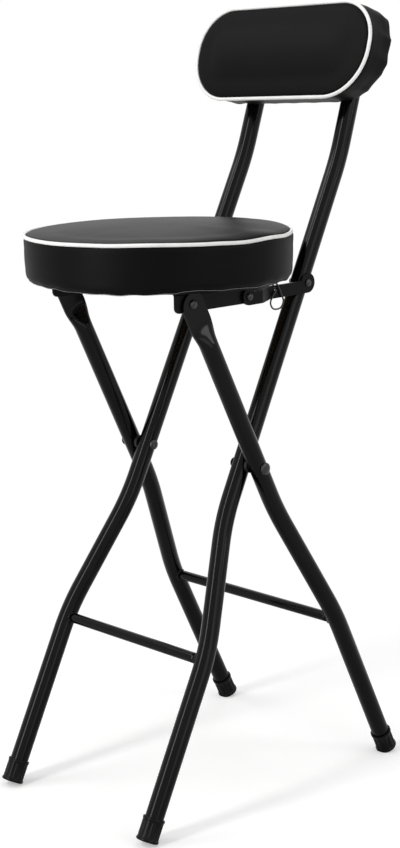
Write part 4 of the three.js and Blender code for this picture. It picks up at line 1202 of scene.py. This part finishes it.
def photo_camera():
    data = bpy.data.cameras.new("photo_camera")
    data.lens = LENS
    data.sensor_width = 36.0
    data.clip_end = 50.0
    data.shift_x = -0.5 / PICTURE_HEIGHT
    data.shift_y = 0.5 / PICTURE_HEIGHT
    camera = new_object("photo_camera", data)
    heading = Matrix.Rotation(math.radians(CAMERA_HEADING), 4, "Z")
    roll = Matrix.Rotation(math.radians(CAMERA_ROLL), 4, "Z")
    place = STOOL @ Matrix.Translation(CAMERA_AT)
    camera.matrix_world = place @ heading @ turn_x(90 - CAMERA_DIP) @ roll
    bpy.context.scene.camera = camera


photo_camera()


# Studio


def area_light(name, place, target, size, power):
    data = bpy.data.lights.new(name, "AREA")
    data.energy = power
    data.shape = "RECTANGLE"
    data.size, data.size_y = size
    light = new_object(name, data)
    light.location = place
    light.visible_camera = False
    light.rotation_mode = "QUATERNION"
    light.rotation_quaternion = (Vector(target) - Vector(place)).to_track_quat("-Z", "Y")


area_light("front_strip", (-0.25, -2.5, 1.5), (0, 0, 1.2), (0.46, 3.4), 50)
area_light("left_box", (-1.3, -1.2, 2.3), (0, 0, 0.85), (1.2, 0.7), 14)
area_light("right_spot", (2.2, 1.05, 1.5), (0, 0, 0.6), (0.8, 0.8), 10)
area_light("side_box", (2.8, -0.4, 1.1), (0, 0, 0.55), (1.4, 2.2), 14)
area_light("top_box", (0.2, 0.3, 2.9), (0, 0, 0.5), (2.0, 2.0), 14)
area_light("rear_box", (-1.8, 1.7, 1.6), (0, 0, 0.7), (1.6, 1.4), 4)


def seen_straight(tree, path):
    """1 for rays that see the backdrop straight, in a reflection or through glass."""
    first = add(tree, "ShaderNodeMath", operation="MAXIMUM")
    second = add(tree, "ShaderNodeMath", operation="MAXIMUM")
    tree.links.new(path.outputs["Is Camera Ray"], first.inputs[0])
    tree.links.new(path.outputs["Is Glossy Ray"], first.inputs[1])
    tree.links.new(first.outputs["Value"], second.inputs[0])
    tree.links.new(path.outputs["Is Transmission Ray"], second.inputs[1])
    return second.outputs["Value"]


def mixed(tree, share, first, second):
    """The first shader where share is 0, the second where it is 1."""
    made = tree.nodes.new("ShaderNodeMixShader")
    tree.links.new(share, made.inputs["Fac"])
    tree.links.new(first, made.inputs[1])
    tree.links.new(second, made.inputs[2])
    return made.outputs["Shader"]


def glow(tree, kind, level, strength):
    """Output of a background or emission node of a grey level and a strength."""
    return add(tree, kind, Color=(level, level, level, 1), Strength=strength).outputs[0]


def white_surroundings():
    world = bpy.data.worlds.new("studio")
    bpy.context.scene.world = world
    world.use_nodes = True
    tree = world.node_tree
    tree.nodes.clear()
    straight = seen_straight(tree, tree.nodes.new("ShaderNodeLightPath"))
    fill = glow(tree, "ShaderNodeBackground", 1, 0.35)
    white = glow(tree, "ShaderNodeBackground", 1, 1.0)
    out = tree.nodes.new("ShaderNodeOutputWorld")
    tree.links.new(mixed(tree, straight, fill, white), out.inputs["Surface"])


def floor_material():
    """Pale and matt under the stool, and white like the backdrop away from it."""
    fade_start, fade_end, lift_strength = 0.3, 0.9, 0.33
    material, tree, shader = new_material("pale_floor")
    shader.inputs["Base Color"].default_value = (0.82, 0.82, 0.82, 1)
    shader.inputs["Roughness"].default_value = 0.9
    shader.inputs["Specular IOR Level"].default_value = 0.0
    path = tree.nodes.new("ShaderNodeLightPath")
    length = add(tree, "ShaderNodeVectorMath", operation="LENGTH", Vector=object_space(tree))
    away = length.outputs["Value"]
    fade = add(tree, "ShaderNodeMapRange", interpolation_type="SMOOTHSTEP", Value=away)
    fade.inputs["From Min"].default_value = fade_start
    fade.inputs["From Max"].default_value = fade_end
    share = add(tree, "ShaderNodeMath", operation="MULTIPLY")
    tree.links.new(seen_straight(tree, path), share.inputs[0])
    tree.links.new(fade.outputs["Result"], share.inputs[1])
    none = glow(tree, "ShaderNodeEmission", 0, 0.0)
    lift = glow(tree, "ShaderNodeEmission", 1, lift_strength)
    white = glow(tree, "ShaderNodeEmission", 1, 1.0)
    near = tree.nodes.new("ShaderNodeAddShader")
    tree.links.new(shader.outputs["BSDF"], near.inputs[0])
    tree.links.new(mixed(tree, path.outputs["Is Camera Ray"], none, lift), near.inputs[1])
    whole = mixed(tree, share.outputs["Value"], near.outputs["Shader"], white)
    tree.links.new(whole, tree.nodes["Material Output"].inputs["Surface"])
    return material


def studio_floor():
    radius, sides = 1.7, 96
    mesh = bpy.data.meshes.new("studio_floor")
    rim = [(radius * c, radius * s, 0) for c, s in around(sides)]
    mesh.from_pydata(rim, [], [tuple(range(sides))])
    mesh.materials.append(floor_material())
    return new_object("studio_floor", mesh)


white_surroundings()
floor = studio_floor()

bpy.context.scene.view_settings.view_transform = "Standard"
